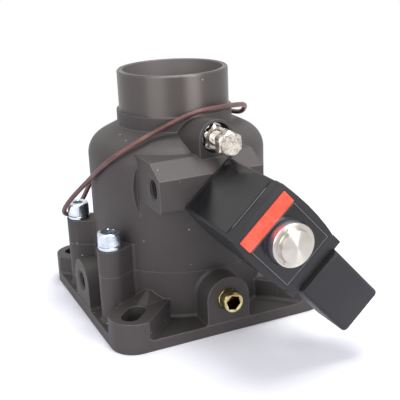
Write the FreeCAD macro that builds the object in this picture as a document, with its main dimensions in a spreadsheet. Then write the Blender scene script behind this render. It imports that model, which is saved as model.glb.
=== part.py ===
import FreeCAD, Part
import math
import os
import Sketcher

# Intake valve of a screw compressor, in millimetres.
# The frame has +Z up along the neck, the origin in the middle of the mounting face, and the
# solenoid and the adjusting screw point to -Y. A piece that lies along -Y is drawn upright
# and its Placement tips it forward.

SIZES = {
    # mounting flange of the lower casing
    "base_side": 132.0,
    "base_corner": 14.0,
    "flange_thick": 6.5,
    "lug_height": 18.0,
    "lug_half_width": 12.5,
    "saddle_top": 23.0,
    "saddle_foot": 11.0,
    "saddle_crown": 3.0,
    "saddle_gap": 1.0,
    "slot_width": 11.0,
    "slot_to_corner": 15.84,
    "slot_travel": 8.0,
    "base_groove_radius": 57.5,
    "base_groove_width": 3.6,
    "base_groove_depth": 2.3,
    # casing drum
    "drum_radius": 52.5,
    "drum_wall": 6.5,
    "split_height": 34.5,
    "cast_round": 2.0,
    "cast_edge": 1.5,
    "seal_radius": 49.25,
    "seal_section": 2.4,
    # shoulder, collar and neck of the upper casing
    "shoulder_slope": 27.0,
    "shoulder_round": 13.0,
    "collar_radius": 34.0,
    "collar_foot": 111.0,
    "collar_top": 119.1,
    "neck_radius": 32.5,
    "neck_wall": 3.0,
    "neck_top": 142.0,
    "neck_chamfer": 0.6,
    "seat_height": 90.4,
    "seat_lip": 3.2,
    "roof_outer": 94.0,
    "roof_inner": 103.0,
    # corner posts and their screws
    "post_x": 55.5,
    "post_y": 29.5,
    "post_radius": 7.5,
    "post_root": 48.5,
    "ear_height": 15.5,
    "screw_diameter": 8.0,
    "screw_hole": 9.0,
    "screw_length": 35.0,
    "screw_tap_depth": 18.0,
    "screw_head": 13.0,
    "screw_head_height": 8.0,
    "screw_head_chamfer": 0.7,
    "screw_key": 6.0,
    "screw_key_depth": 4.0,
    "washer_outer": 13.4,
    "washer_thick": 2.0,
    "washer_gap": 1.6,
    # port pads on the left and the front of the lower casing
    "pad_setback": 0.5,
    "pad_radius": 13.0,
    "port_height": 20.5,
    "port_bore": 11.8,
    "port_mouth": 13.2,
    "port_depth": 12.0,
    "passage": 4.0,
    "plug_length": 9.0,
    "plug_proud": 3.0,
    "plug_key": 6.0,
    "plug_key_depth": 5.0,
    # control cylinder on its three ribs
    "cylinder_bore": 32.0,
    "cylinder_wall": 5.0,
    "cylinder_foot": 12.0,
    "cylinder_floor": 17.0,
    "cylinder_top": 57.0,
    "rib_width": 10.0,
    "rib_top": 29.0,
    "cover_thick": 5.0,
    "cover_seat": 49.0,
    "circlip_thick": 1.3,
    "circlip_depth": 1.4,
    "circlip_gap": 9.0,
    "bush_outer": 16.0,
    "bush_length": 13.0,
    "stem_diameter": 10.0,
    "running_fit": 0.05,
    # piston, stem and intake plate, drawn closed
    "piston_thick": 10.0,
    "piston_top": 47.6,
    "piston_fit": 0.1,
    "piston_groove": 3.0,
    "piston_land": 3.0,
    "plate_radius": 36.0,
    "plate_thick": 6.0,
    "plate_gap": 0.3,
    "plate_hub": 13.0,
    "plate_hub_height": 5.0,
    "plate_seal_width": 5.0,
    "plate_seal_thick": 1.6,
    "stem_thread": 8.0,
    "stem_washer": 18.0,
    "stem_washer_thick": 1.6,
    "nut_thick": 6.5,
    "hex_flats": 13.0,
    "spring_radius": 11.0,
    "spring_wire": 2.4,
    "spring_turns": 5.0,
    "spring_end_gap": 0.3,
    # control block and solenoid
    "block_left": 38.2,
    "block_right": 23.5,
    "block_front": 66.5,
    "block_bottom": 77.5,
    "block_brow": 95.5,
    "block_ridge": 102.5,
    "block_ridge_y": 54.0,
    "spot_radius": 40.0,
    "spot_y": 73.0,
    "spot_z": 82.0,
    "side_port_y": 56.3,
    "side_port_z": 88.7,
    "solenoid_x": 4.3,
    "solenoid_z": 73.75,
    "solenoid_boss": 15.5,
    "tube_base_radius": 9.0,
    "tube_base_depth": 10.0,
    "tube_radius": 6.5,
    "tube_wall": 0.8,
    "tube_end": 131.0,
    "valve_pit_radius": 5.0,
    "valve_pit_depth": 4.0,
    "drop_radius": 1.4,
    "valve_seat_radius": 2.2,
    "valve_seat_rise": 2.0,
    "plunger_gap": 2.3,
    "plunger_length": 30.0,
    "plunger_fit": 0.1,
    "plunger_seal_radius": 3.2,
    "plunger_seal_thick": 2.0,
    "plunger_bore": 5.2,
    "plunger_bore_depth": 12.0,
    "plunger_spring_wire": 0.8,
    "core_gap": 2.4,
    # coil, turned about the tube
    "coil_turn": 47.7,
    "coil_back": 67.0,
    "coil_front": 122.4,
    "coil_half_width": 18.2,
    "coil_bulge": 1.5,
    "coil_short_side": 24.1,
    "coil_flank_end": 18.0,
    "terminal_face": 25.4,
    "terminal_half_width": 18.3,
    "coil_corner": 1.4,
    "coil_bore_fit": 0.1,
    "side_label_back": 69.5,
    "side_label_front": 115.4,
    "side_label_half_width": 16.6,
    "label_sink": 0.5,
    "plate_short_end": 20.4,
    "plate_long_end": 17.5,
    "plate_half_width": 16.3,
    "plate_sheet": 0.5,
    "plate_hole": 12.2,
    # spacer and cap on the end of the tube
    "spacer_radius": 11.5,
    "spacer_length": 6.3,
    "spacer_fit": 0.1,
    "cap_flange_radius": 11.2,
    "cap_flange": 1.2,
    "cap_disc_radius": 8.8,
    "cap_disc_rise": 2.3,
    # cable connector
    "gasket_thick": 0.9,
    "plug_body": 27.2,
    "plug_face": 125.1,
    "plug_reach": 63.9,
    "plug_round": 3.0,
    "terminal_length": 12.0,
    "terminal_width": 6.3,
    "terminal_thick": 0.8,
    "terminal_spread": 5.5,
    "terminal_fit": 0.3,
    "plug_screw_radius": 3.0,
    "plug_screw_depth": 3.0,
    "gland_inset": 13.9,
    "gland_flats": 17.0,
    "gland_length": 9.0,
    "gland_thread_radius": 7.5,
    "gland_bore": 8.0,
    "gland_seal_radius": 6.2,
    "gland_recess": 5.0,
    # adjusting screw, its needle and lock nut
    "adjust_z": 111.5,
    "adjust_boss_radius": 10.2,
    "adjust_boss_root": 14.0,
    "adjust_root_top": 118.0,
    "adjust_boss_front": 57.0,
    "adjust_boss_drop": 14.5,
    "adjust_counterbore": 8.6,
    "adjust_counterbore_depth": 6.0,
    "adjust_diameter": 8.0,
    "adjust_fit": 0.1,
    "adjust_face": 74.0,
    "adjust_head": 5.5,
    "adjust_tip": 43.0,
    "needle_radius": 3.0,
    "needle_length": 7.0,
    "needle_cone": 4.0,
    "needle_tip_radius": 0.8,
    "needle_tail_radius": 1.5,
    "needle_tail": 5.0,
    "needle_bore": 3.4,
    "needle_seat_y": 32.5,
    "lock_washer_thick": 0.8,
    "lock_washer_radius": 7.6,
    "lock_nut_thick": 4.5,
    "bypass_radius": 2.5,
    "bypass_y": 39.0,
    # loose seal ring that hangs over the shoulder
    "ring_section": 2.9,
}

doc = FreeCAD.newDocument("IntakeValve")
sheet = doc.addObject("Spreadsheet::Sheet", "Sizes")
for row, (alias, number) in enumerate(SIZES.items(), start=1):
    sheet.set("A%d" % row, alias)
    sheet.set("B%d" % row, "%g" % number)
    sheet.setAlias("B%d" % row, alias)
doc.recompute()


class Size:
    """A length or angle: its number, and the expression that keeps it tied to the sheet."""

    def __init__(self, number, text):
        self.number = float(number)
        self.text = text

    def __add__(self, other):
        return join(self, other, "+", self.number + number_of(other))

    def __radd__(self, other):
        return join(other, self, "+", number_of(other) + self.number)

    def __sub__(self, other):
        return join(self, other, "-", self.number - number_of(other))

    def __rsub__(self, other):
        return join(other, self, "-", number_of(other) - self.number)

    def __mul__(self, other):
        return join(self, other, "*", self.number * number_of(other))

    def __rmul__(self, other):
        return join(other, self, "*", number_of(other) * self.number)

    def __truediv__(self, other):
        return join(self, other, "/", self.number / number_of(other))

    def __neg__(self):
        return Size(-self.number, "(0 - %s)" % self.text)


def number_of(value):
    return value.number if isinstance(value, Size) else float(value)


def text_of(value):
    return value.text if isinstance(value, Size) else "%g" % value


def join(left, right, sign, number):
    return Size(number, "(%s %s %s)" % (text_of(left), sign, text_of(right)))


def root(value):
    return Size(math.sqrt(number_of(value)), "sqrt(%s)" % text_of(value))


def cosine(angle):
    return Size(math.cos(math.radians(number_of(angle))), "cos(%s)" % text_of(angle))


def sine(angle):
    return Size(math.sin(math.radians(number_of(angle))), "sin(%s)" % text_of(angle))


class Drawing:
    """The named sizes of the sheet as attributes."""


d = Drawing()
for alias, number in SIZES.items():
    setattr(d, alias, Size(number, "Sizes." + alias))

PARTS = []
ROOT2 = math.sqrt(2.0)


def bind(item, path, value):
    item.setExpression(path, text_of(value))


def keep(item, label):
    """Register a finished sub-part under the name of its file."""
    item.Label = label
    PARTS.append(item)
    return item


def new_body(label):
    return doc.addObject("PartDesign::Body", label)


def plane_of(body, role):
    return [plane for plane in body.Origin.OriginFeatures if plane.Role == role][0]


def sketch(body, name, role="XY_Plane", offset=None, turn=None):
    drawn = body.newObject("Sketcher::SketchObject", name)
    drawn.AttachmentSupport = [(plane_of(body, role), "")]
    drawn.MapMode = "FlatFace"
    if turn is not None:
        axis = FreeCAD.Vector(0, 0, 1)
        spin = FreeCAD.Rotation(axis, number_of(turn))
        drawn.AttachmentOffset = FreeCAD.Placement(FreeCAD.Vector(), spin)
        bind(drawn, "AttachmentOffset.Rotation.Angle", turn)
    if offset is not None:
        bind(drawn, "AttachmentOffset.Base.z", offset)
    return drawn


def hold(drawn, geometry, point, across, up):
    """Fix one point of a sketch at (across, up) from its origin."""
    for kind, value, axis in (("DistanceX", across, -2), ("DistanceY", up, -1)):
        if not isinstance(value, Size) and value == 0:
            drawn.addConstraint(Sketcher.Constraint("PointOnObject", geometry, point, axis))
        else:
            number = number_of(value)
            rule = drawn.addConstraint(Sketcher.Constraint(kind, -1, 1, geometry, point, number))
            bind(drawn, "Constraints[%d]" % rule, value)


def circle(drawn, across, up, radius):
    centre = FreeCAD.Vector(number_of(across), number_of(up), 0)
    normal = FreeCAD.Vector(0, 0, 1)
    geometry = drawn.addGeometry(Part.Circle(centre, normal, number_of(radius)), False)
    hold(drawn, geometry, 3, across, up)
    rule = drawn.addConstraint(Sketcher.Constraint("Radius", geometry, number_of(radius)))
    bind(drawn, "Constraints[%d]" % rule, radius)


def bend(drawn, geometry, start, stop):
    """Fix an arc between two held ends: by its radius, or a half circle by its centre."""
    across = number_of(stop[0]) - number_of(start[0])
    up = number_of(stop[1]) - number_of(start[1])
    if math.hypot(across, up) < 1.999 * number_of(start[2]):
        rule = drawn.addConstraint(Sketcher.Constraint("Radius", geometry, number_of(start[2])))
        bind(drawn, "Constraints[%d]" % rule, start[2])
        return
    kind, index = ("DistanceX", 0) if abs(up) > abs(across) else ("DistanceY", 1)
    middle = (start[index] + stop[index]) / 2
    if not isinstance(middle, Size):
        middle = Size(middle, "%g" % middle)
    if abs(middle.number) < 1e-9:
        axis = -2 if index == 0 else -1
        drawn.addConstraint(Sketcher.Constraint("PointOnObject", geometry, 3, axis))
        return
    rule = drawn.addConstraint(
        Sketcher.Constraint(kind, -1, 1, geometry, 3, middle.number))
    bind(drawn, "Constraints[%d]" % rule, middle)


def outline(drawn, corners):
    """Closed outline. A corner is (across, up), or (across, up, radius, way) where the side
    that starts there is an arc, way being 1 for anticlockwise and -1 for clockwise."""
    points = [FreeCAD.Vector(number_of(c[0]), number_of(c[1]), 0) for c in corners]
    ends = []
    for index, corner in enumerate(corners):
        start = points[index]
        stop = points[(index + 1) % len(points)]
        if len(corner) == 2:
            geometry = drawn.addGeometry(Part.LineSegment(start, stop), False)
            ends.append((geometry, 1, 2))
            continue
        radius = number_of(corner[2])
        way = corner[3]
        chord = stop - start
        rise = math.sqrt(max(radius * radius - chord.Length * chord.Length / 4, 0.0))
        side = FreeCAD.Vector(-chord.y, chord.x, 0).normalize()
        centre = (start + stop) * 0.5 + side * (rise * way)
        first, last = (start, stop) if way > 0 else (stop, start)
        begin = math.atan2(first.y - centre.y, first.x - centre.x)
        end = math.atan2(last.y - centre.y, last.x - centre.x)
        whole = Part.Circle(centre, FreeCAD.Vector(0, 0, 1), radius)
        geometry = drawn.addGeometry(Part.ArcOfCircle(whole, begin, end), False)
        ends.append((geometry, 1, 2) if way > 0 else (geometry, 2, 1))
    for index, corner in enumerate(corners):
        geometry, first, last = ends[index]
        follower, entry, leave = ends[(index + 1) % len(ends)]
        drawn.addConstraint(Sketcher.Constraint("Coincident", geometry, last, follower, entry))
        hold(drawn, geometry, first, corner[0], corner[1])
        if len(corner) == 4:
            bend(drawn, geometry, corner, corners[(index + 1) % len(corners)])


def rectangle(drawn, left, right, bottom, top):
    outline(drawn, [(left, bottom), (right, bottom), (right, top), (left, top)])


def polygon(drawn, across, up, flats, sides=6):
    """Regular polygon across its flats, with a corner pointing up."""
    reach = flats / (2 * math.cos(math.pi / sides))
    corners = []
    for step in range(sides):
        angle = math.pi / 2 + 2 * math.pi * step / sides
        corners.append((across + reach * math.cos(angle), up + reach * math.sin(angle)))
    outline(drawn, corners)


def feature(body, kind, name, profile):
    made = body.newObject("PartDesign::" + kind, name)
    made.Profile = profile
    profile.Visibility = False
    return made


def pad(body, profile, length, backwards=False):
    made = feature(body, "Pad", profile.Name + "Pad", profile)
    bind(made, "Length", length)
    made.Reversed = backwards
    return made


def pocket(body, profile, length=None, backwards=False):
    made = feature(body, "Pocket", profile.Name + "Pocket", profile)
    if length is None:
        made.Type = 1
    else:
        bind(made, "Length", length)
    made.Reversed = backwards
    return made


def spin(body, profile, kind="Revolution"):
    made = feature(body, kind, profile.Name + kind, profile)
    made.ReferenceAxis = (profile, ["V_Axis"])
    made.Angle = 360
    return made


def around(body, original, profile, count):
    made = body.newObject("PartDesign::PolarPattern", original.Name + "Round")
    made.Originals = [original]
    made.Axis = (profile, ["N_Axis"])
    made.Angle = 360
    made.Occurrences = count
    body.Tip = made
    return made


def soften(body, name, radius, chosen):
    """Casting radius on the edges whose ends and middle point pass the test."""
    doc.recompute()
    before = body.Tip
    names = []
    for index, edge in enumerate(before.Shape.Edges):
        if edge.Length < 0.01 or edge.Degenerated:
            continue
        ends = [vertex.Point for vertex in edge.Vertexes]
        if chosen(edge.CenterOfMass, ends):
            names.append("Edge%d" % (index + 1))
    made = body.newObject("PartDesign::Fillet", name)
    made.Base = (before, names)
    bind(made, "Radius", radius)
    return made


def on_drum(ends):
    """True where every end lies on the outside of the drum."""
    drum = d.drum_radius.number
    return all(abs(math.hypot(end.x, end.y) - drum) < 0.1 for end in ends)


def upright(ends):
    return len(ends) == 2 and math.hypot(ends[0].x - ends[1].x, ends[0].y - ends[1].y) < 0.01


def level(middle, ends, height):
    return all(abs(point.z - height.number) < 0.02 for point in ends + [middle])


def turned(label, corners):
    """A turned piece: its half section in (radius, height), spun about the height axis."""
    body = new_body(label)
    section = sketch(body, label + "_section", "XZ_Plane")
    outline(section, corners)
    spin(body, section)
    return keep(body, label)


def place(item, x=0, y=0, z=0, rotation=None):
    item.Placement = FreeCAD.Placement(
        FreeCAD.Vector(number_of(x), number_of(y), number_of(z)),
        rotation if rotation is not None else FreeCAD.Rotation())
    for axis, value in (("x", x), ("y", y), ("z", z)):
        bind(item, "Placement.Base." + axis, value)
    return item


FORWARD = FreeCAD.Rotation(FreeCAD.Vector(1, 0, 0), 90)
COIL_TURN = FreeCAD.Rotation(FreeCAD.Vector(0, 0, 1), -d.coil_turn.number)


def on_solenoid(item, turned_with_coil=False):
    """Tip an upright piece forward onto the solenoid axis."""
    rotation = FORWARD.multiply(COIL_TURN) if turned_with_coil else FORWARD
    return place(item, d.solenoid_x, 0, d.solenoid_z, rotation)


def on_adjuster(item):
    return place(item, 0, 0, d.adjust_z, FORWARD)


def tube(label, inner, outer, bottom, top, chamfer=None):
    if chamfer is None:
        return turned(label, [(inner, bottom), (outer, bottom), (outer, top), (inner, top)])
    return turned(label, [(inner, bottom), (outer, bottom), (outer, top - chamfer),
                          (outer - chamfer, top), (inner, top)])


def torus(label, radius, section, height):
    ring = doc.addObject("Part::Torus", label)
    bind(ring, "Radius1", radius)
    bind(ring, "Radius2", section / 2)
    place(ring, 0, 0, height)
    return keep(ring, label)


def spring(label, radius, wire, turns, bottom, height):
    """Round-wire compression spring standing on bottom."""
    coil = doc.addObject("Part::Helix", label + "_path")
    bind(coil, "Radius", radius)
    bind(coil, "Height", height - wire)
    bind(coil, "Pitch", (height - wire) / turns)
    section = doc.addObject("Part::Circle", label + "_section")
    bind(section, "Radius", wire / 2)
    place(section, radius, 0, 0, FORWARD)
    swept = doc.addObject("Part::Sweep", label)
    swept.Sections = [section]
    swept.Spine = (coil, ["Edge1"])
    swept.Solid = True
    swept.Frenet = True
    place(swept, 0, 0, bottom + wire / 2)
    return keep(swept, label)


# Positions that several pieces share

half_base = d.base_side / 2
pad_reach = half_base - d.pad_setback
slot_far = half_base * ROOT2 - d.slot_to_corner
slot_near = slot_far - d.slot_travel
boss_foot = d.adjust_z - d.adjust_boss_drop
gland_along = d.plug_reach - d.gland_inset
drum_bore = d.drum_radius - d.drum_wall
ear_top = d.split_height + d.ear_height
neck_bore = d.neck_radius - d.neck_wall
bore_radius = d.cylinder_bore / 2
cup_radius = bore_radius + d.cylinder_wall
stem_radius = d.stem_diameter / 2
plate_top = d.seat_height - d.plate_gap
plate_under = plate_top - d.plate_thick
piston_under = d.piston_top - d.piston_thick
cover_top = d.cover_seat + d.cover_thick
post_distance = root(d.post_x * d.post_x + d.post_y * d.post_y)
tube_bore = d.tube_radius - d.tube_wall
valve_seat = d.block_front - d.tube_base_depth - d.valve_pit_depth + d.valve_seat_rise
plunger_back = valve_seat + d.plunger_gap
plunger_front = plunger_back + d.plunger_length


def radial_bar(drawn, centre_x, centre_y, distance, half_width, inner):
    """Bar that runs from the drum wall out to a round end about (centre_x, centre_y)."""
    along_x = centre_x / distance
    along_y = centre_y / distance
    side_x = along_y * half_width
    side_y = along_x * half_width
    outline(drawn, [
        (along_x * inner + side_x, along_y * inner - side_y),
        (centre_x + side_x, centre_y - side_y, half_width, 1),
        (centre_x - side_x, centre_y + side_y),
        (along_x * inner - side_x, along_y * inner + side_y),
    ])


def corner_posts(body, name, bottom, height):
    """Four screw posts, the same in both casings."""
    for index, (sign_x, sign_y) in enumerate(((1, 1), (-1, 1), (-1, -1), (1, -1))):
        drawn = sketch(body, "%s%d" % (name, index), "XY_Plane", bottom)
        radial_bar(drawn, sign_x * d.post_x, sign_y * d.post_y, post_distance,
                   d.post_radius, d.post_root)
        pad(body, drawn, height)


def post_holes(body, name, top, diameter, depth):
    drawn = sketch(body, name, "XY_Plane", top)
    for sign_x in (1, -1):
        for sign_y in (1, -1):
            circle(drawn, sign_x * d.post_x, sign_y * d.post_y, diameter / 2)
    pocket(body, drawn, depth)


def port_pad(body, name, role):
    """D-shaped pad of a port, from the drum wall out to its machined face."""
    face = sketch(body, name, role, pad_reach if role == "XZ_Plane" else -pad_reach)
    outline(face, [
        (-d.pad_radius, 0),
        (d.pad_radius, 0),
        (d.pad_radius, d.port_height, d.pad_radius, 1),
        (-d.pad_radius, d.port_height),
    ])
    pad(body, face, pad_reach - d.post_root, backwards=(role == "XZ_Plane"))


def lug_saddles(body):
    """Sloping web on each lug, from just inside the slot up to the drum."""
    reach = slot_near - d.slot_width / 2 - d.saddle_gap
    foot = sketch(body, "saddle_foot_outline", "XY_Plane", d.lug_height, 45)
    outline(foot, [
        (d.post_root, -d.saddle_foot), (reach, -d.saddle_crown),
        (reach, d.saddle_crown), (d.post_root, d.saddle_foot),
    ])
    crown = sketch(body, "saddle_crown_outline", "XY_Plane", d.saddle_top, 45)
    outline(crown, [
        (d.post_root, -d.saddle_crown), (d.drum_radius + d.saddle_gap, -d.saddle_crown / 2),
        (d.drum_radius + d.saddle_gap, d.saddle_crown / 2), (d.post_root, d.saddle_crown),
    ])
    saddle = feature(body, "AdditiveLoft", "saddle", foot)
    saddle.Sections = [crown]
    saddle.Ruled = True
    crown.Visibility = False
    around(body, saddle, foot, 4)
    soften(body, "saddle_edges", d.cast_round, lambda middle, ends:
           d.lug_height.number < middle.z < d.saddle_top.number and not on_drum(ends)
           and abs(ends[0].z - ends[-1].z) > d.cast_round.number)


def lower_casing():
    body = new_body("lower_casing")
    plate = sketch(body, "flange_outline")
    rim = half_base - d.base_corner
    outline(plate, [
        (half_base, -rim), (half_base, rim, d.base_corner, 1),
        (rim, half_base), (-rim, half_base, d.base_corner, 1),
        (-half_base, rim), (-half_base, -rim, d.base_corner, 1),
        (-rim, -half_base), (rim, -half_base, d.base_corner, 1),
    ])
    pad(body, plate, d.flange_thick)

    lug = sketch(body, "lug_outline")
    cut = d.lug_half_width * ROOT2
    inward = half_base - cut / 2 - d.post_root / ROOT2
    outline(lug, [
        (half_base, half_base - cut),
        (half_base, rim, d.base_corner, 1),
        (rim, half_base),
        (half_base - cut, half_base),
        (half_base - cut - inward, half_base - inward),
        (half_base - inward, half_base - cut - inward),
    ])
    around(body, pad(body, lug, d.lug_height), lug, 4)

    drum = sketch(body, "drum_circle")
    circle(drum, 0, 0, d.drum_radius)
    pad(body, drum, d.split_height)
    corner_posts(body, "lower_post", 0 * d.post_x, d.split_height)
    port_pad(body, "front_pad", "XZ_Plane")
    port_pad(body, "left_pad", "YZ_Plane")

    inside = pad_reach.number - 0.1
    soften(body, "casting_roots", d.cast_round, lambda middle, ends:
           upright(ends) and on_drum(ends)
           or level(middle, ends, d.flange_thick) and max(abs(middle.x), abs(middle.y)) < inside)

    lug_saddles(body)

    chamber = sketch(body, "chamber_circle")
    circle(chamber, 0, 0, drum_bore)
    pocket(body, chamber, None, backwards=True)

    rib = sketch(body, "rib_outline", "XY_Plane", d.cylinder_foot)
    outline(rib, [
        (-d.rib_width / 2, -(drum_bore + d.drum_wall / 2)),
        (d.rib_width / 2, -(drum_bore + d.drum_wall / 2)),
        (d.rib_width / 2, -bore_radius),
        (-d.rib_width / 2, -bore_radius),
    ])
    around(body, pad(body, rib, d.rib_top - d.cylinder_foot), rib, 3)
    cup = sketch(body, "cup_circle", "XY_Plane", d.cylinder_foot)
    circle(cup, 0, 0, cup_radius)
    pad(body, cup, d.cylinder_top - d.cylinder_foot)
    bore = sketch(body, "bore_circle", "XY_Plane", d.cylinder_top)
    circle(bore, 0, 0, bore_radius)
    pocket(body, bore, d.cylinder_top - d.cylinder_floor)
    seat = sketch(body, "cover_seat_circle", "XY_Plane", d.cylinder_top)
    circle(seat, 0, 0, bore_radius + d.circlip_depth)
    pocket(body, seat, d.cylinder_top - d.cover_seat)
    groove = sketch(body, "circlip_groove", "XZ_Plane")
    rectangle(groove, bore_radius, bore_radius + 2 * d.circlip_depth,
              cover_top, cover_top + d.circlip_thick)
    spin(body, groove, "Groove")

    slot = sketch(body, "slot_outline", "XY_Plane", None, 45)
    radius = d.slot_width / 2
    outline(slot, [
        (slot_near, -radius), (slot_far, -radius, radius, 1),
        (slot_far, radius), (slot_near, radius, radius, 1),
    ])
    around(body, pocket(body, slot, d.lug_height, backwards=True), slot, 4)

    post_holes(body, "tapped_holes", d.split_height, d.screw_diameter, d.screw_tap_depth)
    for name, role, out in (("front_port", "XZ_Plane", 1), ("left_port", "YZ_Plane", -1)):
        mouth = sketch(body, name + "_mouth", role, out * pad_reach)
        circle(mouth, 0, d.port_height, d.port_mouth / 2)
        pocket(body, mouth, (d.port_mouth - d.port_bore) / 2, backwards=(out < 0))
        hole = sketch(body, name + "_bore", role, out * pad_reach)
        circle(hole, 0, d.port_height, d.port_bore / 2)
        pocket(body, hole, d.port_depth, backwards=(out < 0))
        way = sketch(body, name + "_passage", role, out * pad_reach)
        circle(way, 0, d.port_height, d.passage / 2)
        inner = bore_radius if out > 0 else drum_bore
        pocket(body, way, pad_reach - inner + d.passage, backwards=(out < 0))
    for name, height, middle, width, depth in (
            ("seal_groove", d.split_height, d.seal_radius, d.seal_section, d.seal_section),
            ("base_groove", None, d.base_groove_radius, d.base_groove_width,
             d.base_groove_depth)):
        ring = sketch(body, name, "XY_Plane", height)
        circle(ring, 0, 0, middle + width / 2)
        circle(ring, 0, 0, middle - width / 2)
        pocket(body, ring, depth, backwards=(height is None))
    return keep(body, "lower_casing")



def upper_casing():
    body = new_body("upper_casing")
    drop = (d.drum_radius - d.collar_radius) * sine(d.shoulder_slope) / cosine(d.shoulder_slope)
    knee = d.collar_foot - drop
    half_turn = (90 - d.shoulder_slope) / 2
    tangent = d.shoulder_round * sine(half_turn) / cosine(half_turn)
    shell = sketch(body, "shell_section", "XZ_Plane")
    outline(shell, [
        (0, d.split_height),
        (d.drum_radius, d.split_height),
        (d.drum_radius, knee - tangent, d.shoulder_round, 1),
        (d.drum_radius - tangent * cosine(d.shoulder_slope),
         knee + tangent * sine(d.shoulder_slope)),
        (d.collar_radius, d.collar_foot),
        (d.collar_radius, d.collar_top),
        (d.neck_radius, d.collar_top),
        (d.neck_radius, d.neck_top - d.neck_chamfer),
        (d.neck_radius - d.neck_chamfer, d.neck_top),
        (0, d.neck_top),
    ])
    spin(body, shell)
    corner_posts(body, "ear", d.split_height, d.ear_height)

    block = sketch(body, "block_side", "YZ_Plane", -d.block_left)
    outline(block, [
        (-d.block_front, d.block_bottom),
        (-d.post_y, d.block_bottom),
        (-d.post_y, d.block_ridge),
        (-d.block_ridge_y, d.block_ridge),
        (-d.block_front, d.block_brow),
    ])
    pad(body, block, d.block_left + d.block_right)
    boss = sketch(body, "solenoid_boss", "XZ_Plane", d.block_front)
    circle(boss, d.solenoid_x, d.solenoid_z, d.solenoid_boss)
    pad(body, boss, d.block_front - d.post_y, backwards=True)

    front = sketch(body, "adjuster_front", "XZ_Plane", d.adjust_boss_front)
    outline(front, [
        (-d.adjust_boss_radius, boss_foot),
        (d.adjust_boss_radius, boss_foot),
        (d.adjust_boss_radius, d.adjust_z, d.adjust_boss_radius, 1),
        (-d.adjust_boss_radius, d.adjust_z),
    ])
    back = sketch(body, "adjuster_root", "XZ_Plane", neck_bore)
    rise = d.adjust_root_top - d.adjust_boss_root
    outline(back, [
        (-d.adjust_boss_root, boss_foot),
        (d.adjust_boss_root, boss_foot),
        (d.adjust_boss_root, rise, d.adjust_boss_root, 1),
        (-d.adjust_boss_root, rise),
    ])
    horn = feature(body, "AdditiveLoft", "adjuster_horn", front)
    horn.Sections = [back]
    horn.Ruled = True
    back.Visibility = False

    deep = -d.block_front.number + 1
    soften(body, "ear_roots", d.cast_round, lambda middle, ends:
           upright(ends) and on_drum(ends) and middle.z < ear_top.number)
    soften(body, "block_edges", d.cast_edge, lambda middle, ends:
           min(end.y for end in ends) < -d.drum_radius.number
           and (all(abs(end.x - d.block_right.number) < 0.1 for end in ends)
                or level(middle, ends, d.block_bottom) and middle.y < deep))
    soften(body, "block_roots", d.cast_round, lambda middle, ends:
           on_drum(ends) and middle.z < d.block_bottom.number + 0.1
           and middle.y < -d.post_root.number)
    soften(body, "boss_roots", d.cast_round, lambda middle, ends:
           level(middle, ends, d.block_bottom) and abs(ends[0].x - ends[1].x) < 0.1
           and abs(middle.x) < d.block_right.number - 2)

    spot = sketch(body, "spot_face", "YZ_Plane", -d.block_left)
    circle(spot, -d.spot_y, d.spot_z, d.spot_radius)
    pocket(body, spot, d.drum_radius - d.block_left)

    cavity = sketch(body, "cavity_section", "XZ_Plane")
    outline(cavity, [
        (0, d.split_height),
        (drum_bore, d.split_height),
        (drum_bore, d.roof_outer),
        (neck_bore + d.seat_lip, d.roof_inner),
        (neck_bore + d.seat_lip, d.seat_height),
        (neck_bore, d.seat_height),
        (neck_bore, d.neck_top),
        (0, d.neck_top),
    ])
    spin(body, cavity, "Groove")

    post_holes(body, "clearance_holes", ear_top, d.screw_hole, d.ear_height)

    side_way = d.block_left + d.solenoid_x
    for name, radius, depth in (("control_mouth", d.port_mouth / 2,
                                 (d.port_mouth - d.port_bore) / 2),
                                ("control_bore", d.port_bore / 2, d.port_depth),
                                ("control_passage", d.passage / 2, side_way)):
        hole = sketch(body, name, "YZ_Plane", -d.block_left)
        circle(hole, -d.side_port_y, d.side_port_z, radius)
        pocket(body, hole, depth, backwards=True)
    pit_floor = d.tube_base_depth + d.valve_pit_depth
    for name, radius, depth in (("tube_seat", d.tube_base_radius, d.tube_base_depth),
                                ("valve_pit", d.valve_pit_radius, pit_floor)):
        hole = sketch(body, name, "XZ_Plane", d.block_front)
        circle(hole, d.solenoid_x, d.solenoid_z, radius)
        pocket(body, hole, depth)
    seat = sketch(body, "valve_seat", "XZ_Plane", d.block_front - pit_floor)
    circle(seat, d.solenoid_x, d.solenoid_z, d.valve_seat_radius)
    pad(body, seat, d.valve_seat_rise)
    orifice = sketch(body, "valve_orifice", "XZ_Plane", valve_seat)
    circle(orifice, d.solenoid_x, d.solenoid_z, d.valve_seat_radius / 2)
    pocket(body, orifice, d.tube_base_depth)
    drop_way = sketch(body, "drop_passage", "XY_Plane", d.side_port_z)
    circle(drop_way, d.solenoid_x, -valve_seat, d.drop_radius)
    pocket(body, drop_way, d.side_port_z - d.solenoid_z - d.valve_seat_radius - d.drop_radius)

    for name, radius, depth in (
            ("lock_recess", d.adjust_counterbore, d.adjust_counterbore_depth),
            ("adjuster_thread", d.adjust_diameter / 2 + d.adjust_fit,
             d.adjust_boss_front - d.needle_seat_y),
            ("needle_orifice", d.needle_bore - d.needle_tip_radius,
             d.adjust_boss_front - neck_bore + d.neck_wall)):
        hole = sketch(body, name, "XZ_Plane", d.adjust_boss_front)
        circle(hole, 0, d.adjust_z, radius)
        pocket(body, hole, depth)
    bypass = sketch(body, "bypass_passage", "XY_Plane", d.adjust_z)
    circle(bypass, 0, -d.bypass_y, d.bypass_radius)
    pocket(body, bypass, d.adjust_z - d.roof_outer)
    return keep(body, "upper_casing")


def hex_key(body, name, top, flats, depth, role="XY_Plane", across=0, up=0):
    drawn = sketch(body, name, role, top)
    polygon(drawn, across, up, flats)
    pocket(body, drawn, depth)


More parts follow.
